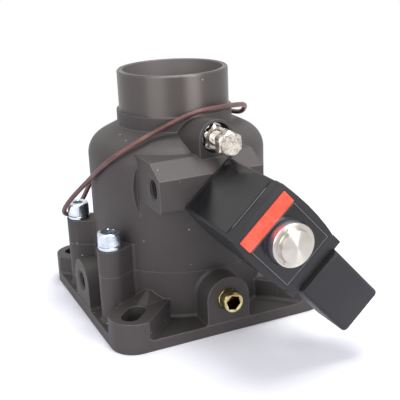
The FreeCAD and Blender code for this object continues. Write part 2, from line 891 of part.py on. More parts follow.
def casing_screws():
    """Four socket screws, one solid each, in the posts."""
    seat = ear_top + d.washer_thick
    tip = seat - d.screw_length
    shanks = []
    for index, (sign_x, sign_y) in enumerate(((1, 1), (-1, 1), (-1, -1), (1, -1))):
        shank = doc.addObject("Part::Cylinder", "screw_shank%d" % index)
        bind(shank, "Radius", d.screw_diameter / 2)
        bind(shank, "Height", d.screw_length)
        place(shank, sign_x * d.post_x, sign_y * d.post_y, tip)
        head = doc.addObject("Part::Cylinder", "screw_head%d" % index)
        bind(head, "Radius", d.screw_head / 2)
        bind(head, "Height", d.screw_head_height)
        place(head, sign_x * d.post_x, sign_y * d.post_y, seat)
        key = doc.addObject("Part::Prism", "screw_key%d" % index)
        key.Polygon = 6
        bind(key, "Circumradius", d.screw_key / math.sqrt(3.0))
        bind(key, "Height", d.screw_key_depth + d.screw_head_chamfer)
        place(key, sign_x * d.post_x, sign_y * d.post_y,
              seat + d.screw_head_height - d.screw_key_depth)
        whole = doc.addObject("Part::MultiFuse", "screw_blank%d" % index)
        whole.Shapes = [shank, head]
        cut = doc.addObject("Part::Cut", "screw%d" % index)
        cut.Base = whole
        cut.Tool = key
        shanks.append(cut)
    group = doc.addObject("Part::Compound", "casing_screws")
    group.Links = shanks
    return keep(group, "casing_screws")


def spring_washers():
    """Four split washers under the screw heads."""
    rings = []
    for index, (sign_x, sign_y) in enumerate(((1, 1), (-1, 1), (-1, -1), (1, -1))):
        disc = doc.addObject("Part::Cylinder", "washer_disc%d" % index)
        bind(disc, "Radius", d.washer_outer / 2)
        bind(disc, "Height", d.washer_thick)
        place(disc, sign_x * d.post_x, sign_y * d.post_y, ear_top)
        hole = doc.addObject("Part::Cylinder", "washer_hole%d" % index)
        bind(hole, "Radius", d.screw_diameter / 2)
        bind(hole, "Height", d.washer_thick)
        place(hole, sign_x * d.post_x, sign_y * d.post_y, ear_top)
        split = doc.addObject("Part::Box", "washer_split%d" % index)
        bind(split, "Length", d.washer_outer)
        bind(split, "Width", d.washer_gap)
        bind(split, "Height", d.washer_thick)
        place(split, sign_x * d.post_x, sign_y * d.post_y - d.washer_gap / 2, ear_top)
        ring = doc.addObject("Part::Cut", "washer_ring%d" % index)
        ring.Base = disc
        ring.Tool = hole
        cut = doc.addObject("Part::Cut", "washer%d" % index)
        cut.Base = ring
        cut.Tool = split
        rings.append(cut)
    group = doc.addObject("Part::Compound", "spring_washers")
    group.Links = rings
    return keep(group, "spring_washers")


def port_plug():
    body = new_body("port_plug")
    face = pad_reach + d.plug_proud
    blank = sketch(body, "plug_circle", "XZ_Plane", face)
    circle(blank, 0, d.port_height, d.port_bore / 2)
    pad(body, blank, d.plug_length, backwards=True)
    hex_key(body, "plug_key", face, d.plug_key, d.plug_key_depth, "XZ_Plane", 0, d.port_height)
    return keep(body, "port_plug")


def cylinder_cover():
    outer = bore_radius + d.circlip_depth
    return tube("cylinder_cover", d.bush_outer / 2, outer, d.cover_seat, cover_top)


def guide_bush():
    inner = stem_radius + d.running_fit
    return tube("guide_bush", inner, d.bush_outer / 2, d.cover_seat, d.cover_seat + d.bush_length)


def circlip():
    body = new_body("circlip")
    outer = bore_radius + 2 * d.circlip_depth
    ring = sketch(body, "circlip_ring", "XY_Plane", cover_top)
    circle(ring, 0, 0, outer)
    circle(ring, 0, 0, outer - 3 * d.circlip_depth)
    pad(body, ring, d.circlip_thick)
    gap = sketch(body, "circlip_gap", "XY_Plane", cover_top)
    rectangle(gap, -d.circlip_gap / 2, d.circlip_gap / 2, 0, outer)
    pocket(body, gap, d.circlip_thick, backwards=True)
    return keep(body, "circlip")


def intake_plate():
    hole = d.stem_thread / 2
    groove = (neck_bore + neck_bore + d.seat_lip) / 2
    near = groove - d.plate_seal_width / 2
    far = groove + d.plate_seal_width / 2
    return turned("intake_plate", [
        (hole, plate_under),
        (d.plate_radius, plate_under),
        (d.plate_radius, plate_top),
        (far, plate_top),
        (far, plate_top - d.plate_seal_thick),
        (near, plate_top - d.plate_seal_thick),
        (near, plate_top),
        (d.plate_hub, plate_top),
        (d.plate_hub - 1, plate_top + d.plate_hub_height),
        (hole, plate_top + d.plate_hub_height),
    ])


def plate_seal():
    groove = (neck_bore + neck_bore + d.seat_lip) / 2
    return tube("plate_seal", groove - d.plate_seal_width / 2, groove + d.plate_seal_width / 2,
                plate_top - d.plate_seal_thick, plate_top)


hub_top = plate_top + d.plate_hub_height


def stem_washer():
    return tube("stem_washer", d.stem_thread / 2, d.stem_washer / 2,
                hub_top, hub_top + d.stem_washer_thick)


def stem_nuts():
    """Nut on top of the plate and nut under the piston."""
    nuts = []
    for index, bottom in enumerate((hub_top + d.stem_washer_thick, piston_under - d.nut_thick)):
        prism = doc.addObject("Part::Prism", "nut_prism%d" % index)
        prism.Polygon = 6
        bind(prism, "Circumradius", d.hex_flats / math.sqrt(3.0))
        bind(prism, "Height", d.nut_thick)
        place(prism, 0, 0, bottom)
        hole = doc.addObject("Part::Cylinder", "nut_hole%d" % index)
        bind(hole, "Radius", d.stem_thread / 2)
        bind(hole, "Height", d.nut_thick)
        place(hole, 0, 0, bottom)
        cut = doc.addObject("Part::Cut", "nut%d" % index)
        cut.Base = prism
        cut.Tool = hole
        nuts.append(cut)
    group = doc.addObject("Part::Compound", "stem_nuts")
    group.Links = nuts
    return keep(group, "stem_nuts")


def valve_stem():
    thread = d.stem_thread / 2
    top = hub_top + d.stem_washer_thick + d.nut_thick + 2
    low = piston_under - d.nut_thick - 1
    return turned("valve_stem", [
        (0, low), (thread, low), (thread, d.piston_top), (stem_radius, d.piston_top),
        (stem_radius, plate_under), (thread, plate_under), (thread, top), (0, top),
    ])


def piston():
    hole = d.stem_thread / 2
    skirt = bore_radius - d.piston_fit
    low = piston_under + d.piston_land
    return turned("piston", [
        (hole, piston_under), (skirt, piston_under), (skirt, low),
        (skirt - d.piston_groove, low), (skirt - d.piston_groove, low + d.piston_groove),
        (skirt, low + d.piston_groove), (skirt, d.piston_top), (hole, d.piston_top),
    ])


def piston_seal():
    skirt = bore_radius - d.piston_fit
    low = piston_under + d.piston_land
    return tube("piston_seal", skirt - d.piston_groove, skirt, low, low + d.piston_groove)


def armature_tube():
    inner = tube_bore
    foot = d.block_front - d.tube_base_depth
    return on_solenoid(turned("armature_tube", [
        (inner, foot), (d.tube_base_radius, foot), (d.tube_base_radius, d.block_front),
        (d.tube_radius, d.block_front), (d.tube_radius, d.tube_end), (inner, d.tube_end),
    ]))


def core_stop():
    return on_solenoid(turned("core_stop", [
        (0, plunger_front + d.core_gap), (tube_bore, plunger_front + d.core_gap),
        (tube_bore, d.tube_end), (0, d.tube_end),
    ]))


def plunger():
    outer = tube_bore - d.plunger_fit
    spring_hole = d.plunger_bore / 2
    return on_solenoid(turned("plunger", [
        (0, plunger_back), (outer, plunger_back), (outer, plunger_front),
        (spring_hole, plunger_front), (spring_hole, plunger_front - d.plunger_bore_depth),
        (0, plunger_front - d.plunger_bore_depth),
    ]))


def plunger_seal():
    face = plunger_back - d.plunger_seal_thick
    return on_solenoid(tube("plunger_seal", 0, d.plunger_seal_radius, face, plunger_back))


def coil_housing():
    body = new_body("coil_housing")
    profile = sketch(body, "coil_outline", "XY_Plane", d.coil_back)
    corner = d.coil_corner
    chord = d.coil_flank_end + d.coil_short_side - corner
    bulge = (chord * chord + 4 * d.coil_bulge * d.coil_bulge) / (8 * d.coil_bulge)
    half = d.coil_half_width
    outline(profile, [
        (corner - d.coil_short_side, -half, bulge, 1),
        (d.coil_flank_end, -half),
        (d.terminal_face, -d.terminal_half_width),
        (d.terminal_face, d.terminal_half_width),
        (d.coil_flank_end, half, bulge, 1),
        (corner - d.coil_short_side, half, corner, 1),
        (-d.coil_short_side, half - corner),
        (-d.coil_short_side, corner - half, corner, 1),
    ])
    pad(body, profile, d.coil_front - d.coil_back)
    bore = sketch(body, "coil_bore", "XY_Plane", d.coil_front)
    circle(bore, 0, 0, d.tube_radius + d.coil_bore_fit)
    pocket(body, bore)
    recess = sketch(body, "side_recess", "YZ_Plane", -d.coil_short_side)
    rectangle(recess, -d.side_label_half_width, d.side_label_half_width,
              d.side_label_back, d.side_label_front)
    pocket(body, recess, d.label_sink, backwards=True)
    return on_solenoid(keep(body, "coil_housing"), True)


def coil_label():
    """Printed sheet on the end face of the coil."""
    body = new_body("coil_label")
    face = sketch(body, "label_outline", "XY_Plane", d.coil_front)
    rectangle(face, -d.plate_short_end, d.plate_long_end,
              -d.plate_half_width, d.plate_half_width)
    circle(face, 0, 0, d.plate_hole)
    pad(body, face, d.plate_sheet)
    return on_solenoid(keep(body, "coil_label"), True)


def coil_side_label():
    body = new_body("coil_side_label")
    sheet_face = sketch(body, "side_label_outline", "YZ_Plane", d.label_sink - d.coil_short_side)
    rectangle(sheet_face, -d.side_label_half_width, d.side_label_half_width,
              d.side_label_back, d.side_label_front)
    pad(body, sheet_face, d.label_sink, backwards=True)
    return on_solenoid(keep(body, "coil_side_label"), True)


plug_middle = d.plug_face - d.plug_body / 2
plug_foot = d.terminal_face + d.gasket_thick


def blade_offsets():
    """The two supply blades lie each side, the earth blade nearer the front."""
    return ((-d.terminal_spread, 0), (d.terminal_spread, 0))


def coil_terminals():
    blades = []
    for index, (side, _) in enumerate(blade_offsets()):
        blade = doc.addObject("Part::Box", "blade%d" % index)
        bind(blade, "Length", d.terminal_length)
        bind(blade, "Width", d.terminal_thick)
        bind(blade, "Height", d.terminal_width)
        place(blade, d.terminal_face, side - d.terminal_thick / 2,
              plug_middle - d.terminal_width / 2)
        blades.append(blade)
    earth = doc.addObject("Part::Box", "earth_blade")
    bind(earth, "Length", d.terminal_length)
    bind(earth, "Width", d.terminal_width)
    bind(earth, "Height", d.terminal_thick)
    place(earth, d.terminal_face, -d.terminal_width / 2,
          plug_middle + d.terminal_spread + d.terminal_thick)
    group = doc.addObject("Part::Compound", "coil_terminals")
    group.Links = blades + [earth]
    return on_solenoid(keep(group, "coil_terminals"), True)


def blade_slots(body, name, start, depth):
    drawn = sketch(body, name, "YZ_Plane", start)
    wide = d.terminal_width / 2 + d.terminal_fit
    thin = d.terminal_thick / 2 + d.terminal_fit
    for side, _ in blade_offsets():
        rectangle(drawn, side - thin, side + thin, plug_middle - wide, plug_middle + wide)
    earth = plug_middle + d.terminal_spread + d.terminal_thick * 1.5
    rectangle(drawn, -wide, wide, earth - thin, earth + thin)
    pocket(body, drawn, depth, backwards=True)


def plug_outline(drawn):
    half = d.plug_body / 2
    flat = half - d.plug_round
    outline(drawn, [
        (half, plug_middle - flat), (half, plug_middle + flat, d.plug_round, 1),
        (flat, plug_middle + half), (-flat, plug_middle + half, d.plug_round, 1),
        (-half, plug_middle + flat), (-half, plug_middle - flat, d.plug_round, 1),
        (-flat, plug_middle - half), (flat, plug_middle - half, d.plug_round, 1),
    ])


def connector_gasket():
    body = new_body("connector_gasket")
    face = sketch(body, "gasket_outline", "YZ_Plane", d.terminal_face)
    plug_outline(face)
    pad(body, face, d.gasket_thick)
    blade_slots(body, "gasket_slots", d.terminal_face, d.gasket_thick)
    return on_solenoid(keep(body, "connector_gasket"), True)


def connector_plug():
    body = new_body("connector_plug")
    face = sketch(body, "plug_section", "YZ_Plane", plug_foot)
    plug_outline(face)
    pad(body, face, d.plug_reach - plug_foot)
    blade_slots(body, "plug_slots", plug_foot, d.terminal_length)
    head = sketch(body, "screw_recess", "YZ_Plane", d.plug_reach)
    circle(head, 0, plug_middle, d.plug_screw_radius + d.terminal_fit)
    pocket(body, head, d.plug_screw_depth)
    low_face = d.plug_face - d.plug_body
    entry = sketch(body, "cable_entry", "XY_Plane", low_face)
    circle(entry, gland_along, 0, d.gland_thread_radius)
    pocket(body, entry, d.plug_body / 2, backwards=True)
    return on_solenoid(keep(body, "connector_plug"), True)


def connector_screw():
    body = new_body("connector_screw")
    head = sketch(body, "plug_screw_head", "YZ_Plane", d.plug_reach - d.plug_screw_depth)
    circle(head, 0, plug_middle, d.plug_screw_radius)
    pad(body, head, d.plug_screw_depth * 0.8)
    slot = sketch(body, "plug_screw_slot", "YZ_Plane", d.plug_reach - d.plug_screw_depth * 0.2)
    rectangle(slot, -d.plug_screw_radius * 1.1, d.plug_screw_radius * 1.1,
              plug_middle - d.terminal_thick / 2, plug_middle + d.terminal_thick / 2)
    pocket(body, slot, d.terminal_thick)
    return on_solenoid(keep(body, "connector_screw"), True)


def cable_gland():
    body = new_body("cable_gland")
    low_face = d.plug_face - d.plug_body
    nut = sketch(body, "gland_hexagon", "XY_Plane", low_face)
    polygon(nut, gland_along, 0 * gland_along, d.gland_flats)
    pad(body, nut, d.gland_length, backwards=True)
    thread = sketch(body, "gland_thread", "XY_Plane", low_face)
    circle(thread, gland_along, 0, d.gland_thread_radius)
    pad(body, thread, d.plug_body / 2)
    bore = sketch(body, "gland_bore", "XY_Plane", low_face + d.plug_body / 2)
    circle(bore, gland_along, 0, d.gland_seal_radius)
    pocket(body, bore)
    return on_solenoid(keep(body, "cable_gland"), True)


def gland_seal():
    """Rubber sleeve that closes the unused cable entry."""
    sleeve = tube("gland_seal", 0, d.gland_seal_radius,
                  d.plug_face - d.plug_body - d.gland_length + d.gland_recess,
                  d.plug_face - d.plug_body / 2)
    shift = FORWARD.multiply(COIL_TURN).multVec(FreeCAD.Vector(1, 0, 0))
    return place(sleeve, d.solenoid_x + shift.x * gland_along, 0,
                 d.solenoid_z + shift.z * gland_along, FORWARD)


def spacer_ring():
    return on_solenoid(tube("spacer_ring", d.tube_radius + d.spacer_fit, d.spacer_radius,
                            d.coil_front, d.coil_front + d.spacer_length))


def retaining_cap():
    body = new_body("retaining_cap")
    back = d.coil_front + d.spacer_length
    face = back + d.cap_flange + d.cap_disc_rise
    section = sketch(body, "cap_section", "XZ_Plane")
    outline(section, [
        (0, d.tube_end), (d.tube_radius, d.tube_end), (d.tube_radius, back),
        (d.cap_flange_radius, back), (d.cap_flange_radius, back + d.cap_flange),
        (d.cap_disc_radius, back + d.cap_flange), (d.cap_disc_radius, face - 0.4),
        (d.cap_disc_radius - 0.4, face), (0, face),
    ])
    spin(body, section)
    return on_solenoid(keep(body, "retaining_cap"))


def bypass_needle():
    """Needle that follows the screw in and out without turning, by a tail in the screw's tip."""
    start = d.adjust_tip - d.needle_length - d.needle_cone
    return on_adjuster(turned("bypass_needle", [
        (0, start), (d.needle_tip_radius, start), (d.needle_radius, start + d.needle_cone),
        (d.needle_radius, d.adjust_tip), (d.needle_tail_radius, d.adjust_tip),
        (d.needle_tail_radius, d.adjust_tip + d.needle_tail),
        (0, d.adjust_tip + d.needle_tail),
    ]))


def adjusting_screw():
    body = new_body("adjusting_screw")
    radius = d.adjust_diameter / 2
    socket = d.needle_tail_radius + d.running_fit
    section = sketch(body, "adjuster_section", "XZ_Plane")
    outline(section, [
        (socket, d.adjust_tip), (radius, d.adjust_tip),
        (radius, d.adjust_face - d.adjust_head), (0, d.adjust_face - d.adjust_head),
        (0, d.adjust_tip + d.needle_tail + d.running_fit),
        (socket, d.adjust_tip + d.needle_tail + d.running_fit),
    ])
    spin(body, section)
    head = sketch(body, "adjuster_head", "XY_Plane", d.adjust_face - d.adjust_head)
    polygon(head, 0, 0, d.hex_flats)
    pad(body, head, d.adjust_head)
    return on_adjuster(keep(body, "adjusting_screw"))


lock_seat = d.adjust_boss_front - d.adjust_counterbore_depth


def lock_washer():
    inner = d.adjust_diameter / 2 + d.adjust_fit
    return on_adjuster(tube("lock_washer", inner, d.lock_washer_radius,
                            lock_seat, lock_seat + d.lock_washer_thick))


def lock_nut():
    body = new_body("lock_nut")
    nut = sketch(body, "lock_hexagon", "XY_Plane", lock_seat + d.lock_washer_thick)
    polygon(nut, 0, 0, d.hex_flats)
    circle(nut, 0, 0, d.adjust_diameter / 2 + d.adjust_fit)
    pad(body, nut, d.lock_nut_thick)
    return on_adjuster(keep(body, "lock_nut"))


def bends(points):
    """Start, middle and end of the arc at each point of a closed route, tangent to its runs."""
    arcs = []
    for index, corner in enumerate(points):
        into = corner - points[index - 1]
        onward = points[(index + 1) % len(points)] - corner
        shorter = min(into.Length, onward.Length)
        into.normalize()
        onward.normalize()
        half_turn = into.getAngle(onward) / 2
        reach = 0.45 * shorter
        radius = reach / math.tan(half_turn)
        inward = (onward - into).normalize()
        middle = corner + inward * (radius / math.cos(half_turn) - radius)
        arcs.append((corner - into * reach, middle, corner + onward * reach))
        print("bend %d radius %.1f" % (index, radius))
    return arcs


def loose_seal_ring():
    """Rubber ring of the mounting face, hung round the collar: the route of its middle line
    starts behind the left rear screw and climbs over the front of the shoulder."""
    # in drum radii from the middle of the collar's foot
    route = [
        (-1.1352, 0.7429, -1.1829), (-1.2438, 0.5943, -1.0743),
        (-1.1829, 0.4000, -0.8686), (-1.0476, 0.0476, -0.5676),
        (-1.0133, -0.2762, -0.3619), (-0.9067, -0.4990, -0.1867),
        (-0.6857, -0.5714, -0.0610), (-0.4762, -0.5562, 0.0229),
        (-0.0876, -0.7162, 0.2229), (0.2705, -0.6400, 0.2171),
        (0.5714, -0.4381, 0.1714), (0.7714, -0.2667, 0.1200),
        (0.8571, -0.0476, -0.0019), (0.8857, 0.1714, -0.0705),
        (0.7048, 0.4000, -0.0248), (0.4000, 0.5714, 0.0248),
        (0.0762, 0.7238, 0.0305), (-0.2095, 0.8610, -0.0343),
        (-0.4286, 0.9714, -0.2476), (-0.6000, 0.9486, -0.5524),
        (-0.7810, 0.8876, -0.8571), (-0.9714, 0.8286, -1.1238),
    ]
    drum = d.drum_radius.number
    foot = FreeCAD.Vector(0, 0, d.collar_foot.number)
    arcs = bends([foot + FreeCAD.Vector(*point) * drum for point in route])
    edges = []
    for index, (start, middle, end) in enumerate(arcs):
        edges.append(Part.Arc(start, middle, end).toShape())
        edges.append(Part.LineSegment(end, arcs[(index + 1) % len(arcs)][0]).toShape())
    path = Part.Wire(edges)
    lengths = []
    for edge in edges:
        start = edge.valueAt(edge.FirstParameter)
        along = edge.tangentAt(edge.FirstParameter)
        radius = d.ring_section.number / 2
        disc = Part.Face(Part.Wire(Part.makeCircle(radius, start, along)))
        if isinstance(edge.Curve, Part.Line):
            lengths.append(disc.extrude(edge.valueAt(edge.LastParameter) - start))
        else:
            angle = math.degrees(edge.Length / edge.Curve.Radius)
            lengths.append(disc.revolve(edge.Curve.Center, edge.Curve.Axis, angle))
    ring = doc.addObject("Part::Feature", "loose_seal_ring")
    ring.Shape = lengths[0].multiFuse(lengths[1:])
    print("ring length %.1f, volume %.1f of %.1f" % (
        path.Length, ring.Shape.Volume, path.Length * math.pi * radius * radius))
    return keep(ring, "loose_seal_ring")


lower_casing()
upper_casing()
torus("casing_seal", d.seal_radius, d.seal_section, d.split_height - d.seal_section / 2)
casing_screws()
spring_washers()
port_plug()
cylinder_cover()
guide_bush()
circlip()
intake_plate()
plate_seal()
stem_washer()
stem_nuts()
valve_stem()
piston()
piston_seal()
spring("return_spring", d.spring_radius, d.spring_wire, d.spring_turns,
       cover_top + d.spring_end_gap, plate_under - cover_top - 2 * d.spring_end_gap)
armature_tube()
core_stop()
plunger()
plunger_seal()
on_plunger = plunger_front - d.plunger_bore_depth + d.spring_end_gap
spring_room = d.plunger_bore_depth + d.core_gap - 2 * d.spring_end_gap
plunger_coil = spring("plunger_spring", d.plunger_bore / 2 - d.plunger_spring_wire,
                      d.plunger_spring_wire, d.spring_turns, on_plunger, spring_room)
place(plunger_coil, d.solenoid_x, 0 - on_plunger - d.plunger_spring_wire / 2, d.solenoid_z,
      FORWARD)
coil_housing()
coil_label()
coil_side_label()
coil_terminals()
connector_gasket()
connector_plug()
connector_screw()
cable_gland()
gland_seal()
spacer_ring()
retaining_cap()
bypass_needle()
adjusting_screw()
lock_washer()
lock_nut()
loose_seal_ring()

doc.recompute()
bad = [item.Name for item in doc.Objects
       if "Invalid" in item.State or "Error" in item.State]
if bad:
    raise SystemExit("not rebuilt: " + ", ".join(bad))
os.makedirs("parts", exist_ok=True)
for item in PARTS:
    if item.Shape.isNull() or not item.Shape.isValid():
        raise SystemExit("bad shape: " + item.Label)
    item.Shape.exportStep("parts/" + item.Label + ".step")
    box = item.Shape.BoundBox
    print("%-18s %9.0f mm3  x %.1f %.1f  y %.1f %.1f  z %.1f %.1f" % (
        item.Label, item.Shape.Volume, box.XMin, box.XMax, box.YMin, box.YMax,
        box.ZMin, box.ZMax))
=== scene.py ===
# %% [markdown]
# # The intake valve of a screw compressor
#
# The real object is a dark anodised aluminium casting with a turned neck on top, a black
# solenoid coil with its cable plug on the front, a bright adjusting screw, a few zinc screws and
# a spare rubber ring that was dropped over its shoulder. The packed CAD model is loaded as a
# fixed frame. Shapes that are right there only get a better finish here, and the small things
# that the eye goes to, such as screws, labels and threads, are made again with more detail.

# %% Load the frame and keep its size
import math

import bmesh
import bpy
from mathutils import Matrix, Vector


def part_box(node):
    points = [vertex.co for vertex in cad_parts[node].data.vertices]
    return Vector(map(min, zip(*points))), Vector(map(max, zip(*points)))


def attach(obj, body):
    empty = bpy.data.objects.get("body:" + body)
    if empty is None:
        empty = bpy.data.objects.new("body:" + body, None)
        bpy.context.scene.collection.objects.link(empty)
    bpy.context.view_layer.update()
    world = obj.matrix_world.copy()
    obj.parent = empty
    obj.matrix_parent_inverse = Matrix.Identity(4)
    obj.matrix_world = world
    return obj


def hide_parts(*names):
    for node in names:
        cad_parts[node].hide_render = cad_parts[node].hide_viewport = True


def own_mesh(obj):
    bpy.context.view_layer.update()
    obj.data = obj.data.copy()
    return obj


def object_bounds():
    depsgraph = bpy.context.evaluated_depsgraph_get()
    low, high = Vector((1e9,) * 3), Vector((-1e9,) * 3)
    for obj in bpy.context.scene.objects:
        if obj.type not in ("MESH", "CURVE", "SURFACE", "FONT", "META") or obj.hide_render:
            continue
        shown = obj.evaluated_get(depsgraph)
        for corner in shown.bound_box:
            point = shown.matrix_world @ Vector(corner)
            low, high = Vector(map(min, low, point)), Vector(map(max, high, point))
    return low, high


MM = 0.001

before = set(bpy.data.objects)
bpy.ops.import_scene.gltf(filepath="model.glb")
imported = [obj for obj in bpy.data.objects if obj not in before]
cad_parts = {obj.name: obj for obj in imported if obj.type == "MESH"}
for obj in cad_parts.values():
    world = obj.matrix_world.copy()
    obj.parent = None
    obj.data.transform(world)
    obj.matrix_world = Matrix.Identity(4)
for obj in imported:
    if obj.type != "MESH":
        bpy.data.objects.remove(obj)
cad_low, cad_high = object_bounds()
print("frame box in mm:", [round(v / MM, 1) for v in (*cad_low, *cad_high)])

# %% [markdown]
# ## The camera
#
# The photograph looks down on the valve from the front and a little from its left. A long lens
# keeps the neck's sides nearly upright. The camera could be aimed by eye, but the corners of the
# base, the rim of the neck and the coil fix where it stood, so its place is given as a position,
# two angles and a small roll, and the lens comes from the size of the object in the frame.

# %% Camera at the photograph's viewpoint
AZIMUTH, ELEVATION, ROLL = math.radians(-24.324), math.radians(18.766), math.radians(-2.285)
CAMERA_PLACE = Vector((-0.18046, -0.43124, 0.21803))
FOCAL_PIXELS, FRAME_PIXELS, SENSOR = 800.2, 400, 36.0

# back points from the object to the camera, side and lift span the picture before the roll
back = Vector((math.sin(AZIMUTH) * math.cos(ELEVATION),
               -math.cos(AZIMUTH) * math.cos(ELEVATION), math.sin(ELEVATION)))
side = (-back).cross(Vector((0, 0, 1))).normalized()
lift = side.cross(-back)
across = side * math.cos(ROLL) + lift * math.sin(ROLL)
above = lift * math.cos(ROLL) - side * math.sin(ROLL)

camera_data = bpy.data.cameras.new("camera")
camera_data.sensor_width = SENSOR
camera_data.lens = SENSOR * FOCAL_PIXELS / FRAME_PIXELS
camera_data.clip_start, camera_data.clip_end = 0.02, 40.0
camera = bpy.data.objects.new("camera", camera_data)
camera.matrix_world = Matrix((
    (across.x, above.x, back.x, CAMERA_PLACE.x),
    (across.y, above.y, back.y, CAMERA_PLACE.y),
    (across.z, above.z, back.z, CAMERA_PLACE.z),
    (0, 0, 0, 1)))
bpy.context.scene.collection.objects.link(camera)
bpy.context.scene.camera = camera
print("lens", round(camera_data.lens, 2), "mm")

# %% [markdown]
# ## Colours and nodes
#
# Every finish below is made of shader nodes. Colours are written as the sRGB hex values that a
# picture editor shows, and one function turns them into the linear values that Blender works in.
# One more small function adds a node, sets it and wires it, so that each material reads as a list.

# %% Two small tools for materials
def linear(code):
    """The linear colour of an sRGB hex value such as 4d494a."""
    parts = [int(code[i:i + 2], 16) / 255 for i in (0, 2, 4)]
    return tuple(p / 12.92 if p <= 0.04045 else ((p + 0.055) / 1.055) ** 2.4 for p in parts) + (1,)


def add(tree, kind, inputs=None, **settings):
    """Add a shader node: settings are its properties, inputs are values or sockets to link."""
    node = tree.nodes.new("ShaderNode" + kind)
    for name, value in settings.items():
        setattr(node, name, value)
    for name, value in (inputs or {}).items():
        if isinstance(value, bpy.types.NodeSocket):
            tree.links.new(value, node.inputs[name])
        else:
            node.inputs[name].default_value = value
    return node


print("mid grey is", [round(v, 3) for v in linear("808080")])

# %% [markdown]
# ## Floor and light
#
# The photograph was taken on white paper under soft boxes, so the ground is white with faint
# lavender shadows. A white world would do, but it would leave no shadow to stand the object on.
# Here the floor is matt white paper near the object and turns into plain white light farther
# out, where no shadow falls. That white is for the rays that show it, straight to the camera, in
# a reflection or through glass, and adds no light to the object. The lamps are large, so their
# edges in the metal stay soft.

# %% The rays that see the backdrop
def showing(tree):
    """A socket that is 1 for rays of the camera, of gloss and of glass, and 0 for the rest."""
    path = add(tree, "LightPath")
    total = add(tree, "Math", {0: path.outputs["Is Camera Ray"],
                               1: path.outputs["Is Glossy Ray"]}, operation="ADD")
    return add(tree, "Math", {0: total.outputs[0], 1: path.outputs["Is Transmission Ray"]},
               operation="ADD", use_clamp=True).outputs[0]


print("helper showing:", showing.__doc__)

# %% White paper floor
# in metres: half the sheet's side, its depth under the valve, and how far from the middle the
# paper starts to turn into plain white and has turned
FLOOR_HALF, BELOW, FADE_START, FADE_END = 6.0, 0.0002, 0.20, 0.45
bm = bmesh.new()
bmesh.ops.create_grid(bm, x_segments=8, y_segments=8, size=FLOOR_HALF)
bmesh.ops.translate(bm, verts=bm.verts, vec=(0, 0, cad_low.z - BELOW))
floor_mesh = bpy.data.meshes.new("floor")
bm.to_mesh(floor_mesh)
bm.free()
floor = bpy.data.objects.new("floor", floor_mesh)
bpy.context.scene.collection.objects.link(floor)

paper = bpy.data.materials.new("matt_white_paper")
paper.use_nodes = True
tree = paper.node_tree
tree.nodes.clear()
spot = add(tree, "TexCoord")
reach = add(tree, "VectorMath", {0: spot.outputs["Object"]}, operation="LENGTH")
away = add(tree, "MapRange", {"Value": reach.outputs["Value"], "From Min": FADE_START,
                              "From Max": FADE_END}, interpolation_type="SMOOTHSTEP")
# the paper's tooth, 1.1 mm across
grain = add(tree, "TexNoise", {"Vector": spot.outputs["Object"], "Scale": 900.0, "Detail": 2.0})
tooth = add(tree, "Bump", {"Height": grain.outputs["Fac"], "Strength": 0.05, "Distance": 0.0002})
sheet = add(tree, "BsdfDiffuse", {"Color": linear("fafafe"), "Normal": tooth.outputs["Normal"]})
glow = add(tree, "Emission", {"Color": (1, 1, 1, 1), "Strength": 1.0})
share = add(tree, "Math", {0: away.outputs["Result"], 1: showing(tree)}, operation="MULTIPLY")
mixed = add(tree, "MixShader", {0: share.outputs[0], 1: sheet.outputs[0], 2: glow.outputs[0]})
add(tree, "OutputMaterial", {"Surface": mixed.outputs[0]})
floor_mesh.materials.append(paper)
print("floor at z", round((cad_low.z - BELOW) / MM, 2), "mm")

# %% World and three soft boxes
world = bpy.data.worlds.new("studio")
world.use_nodes = True
bpy.context.scene.world = world
tree = world.node_tree
tree.nodes.clear()
room = add(tree, "Background", {"Color": linear("d6d6ec"), "Strength": 0.36})
white = add(tree, "Background", {"Color": (1, 1, 1, 1), "Strength": 1.0})
mixed = add(tree, "MixShader", {0: showing(tree), 1: room.outputs[0], 2: white.outputs[0]})
add(tree, "OutputWorld", {"Surface": mixed.outputs[0]})

# each lamp is a square that looks at the middle of the valve
AIMED_AT = Vector((0, 0, 0.07))
for name, place, width, watts in (
        ("box_left", (-0.88, -0.55, 0.60), 0.80, 6.5),
        ("box_right", (0.34, -1.00, 0.56), 0.55, 8.5),
        ("box_top", (0.10, 0.02, 1.00), 0.60, 8.0)):
    lamp_data = bpy.data.lights.new(name, "AREA")
    lamp_data.shape, lamp_data.size, lamp_data.energy = "SQUARE", width, watts
    lamp = bpy.data.objects.new(name, lamp_data)
    lamp.location = place
    aim = AIMED_AT - Vector(place)
    lamp.rotation_euler = aim.to_track_quat("-Z", "Y").to_euler()
    bpy.context.scene.collection.objects.link(lamp)
    print(name, width, "m wide,", watts, "W")

bpy.context.scene.view_settings.view_transform = "Standard"

# %% [markdown]
# ## The dark casting
#
# The two casing halves are cast aluminium, shot blasted and then hard anodised to a warm dark
# grey. To the eye that is a matt skin with a fine sandy grain, slightly blotchy, a little lighter
# on its edges, partly rubbed there and partly a painted highlight where the edges catch the light,
# with tiny bright pits where the skin was knocked through, mostly near the flange's left corner.
# The neck was turned before the anodising, so it is smoother, and its very fine rings draw the
# light out into upright bands. One material does both: masks from the Object coordinates say where
# the lathe has been, because the CAD mesh has no parts for it.

# %% A new material with one shader
def begin(name, colour, roughness, metallic=0.0):
    """A new material with one Principled shader: returns it, its tree, the shader, the place."""
    made = bpy.data.materials.new(name)
    made.use_nodes = True
    tree = made.node_tree
    tree.nodes.clear()
    coat = add(tree, "BsdfPrincipled", {"Base Color": linear(colour), "Roughness": roughness,
                                        "Metallic": metallic})
    add(tree, "OutputMaterial", {"Surface": coat.outputs[0]})
    where = add(tree, "TexCoord").outputs["Object"]
    return made, tree, coat, where


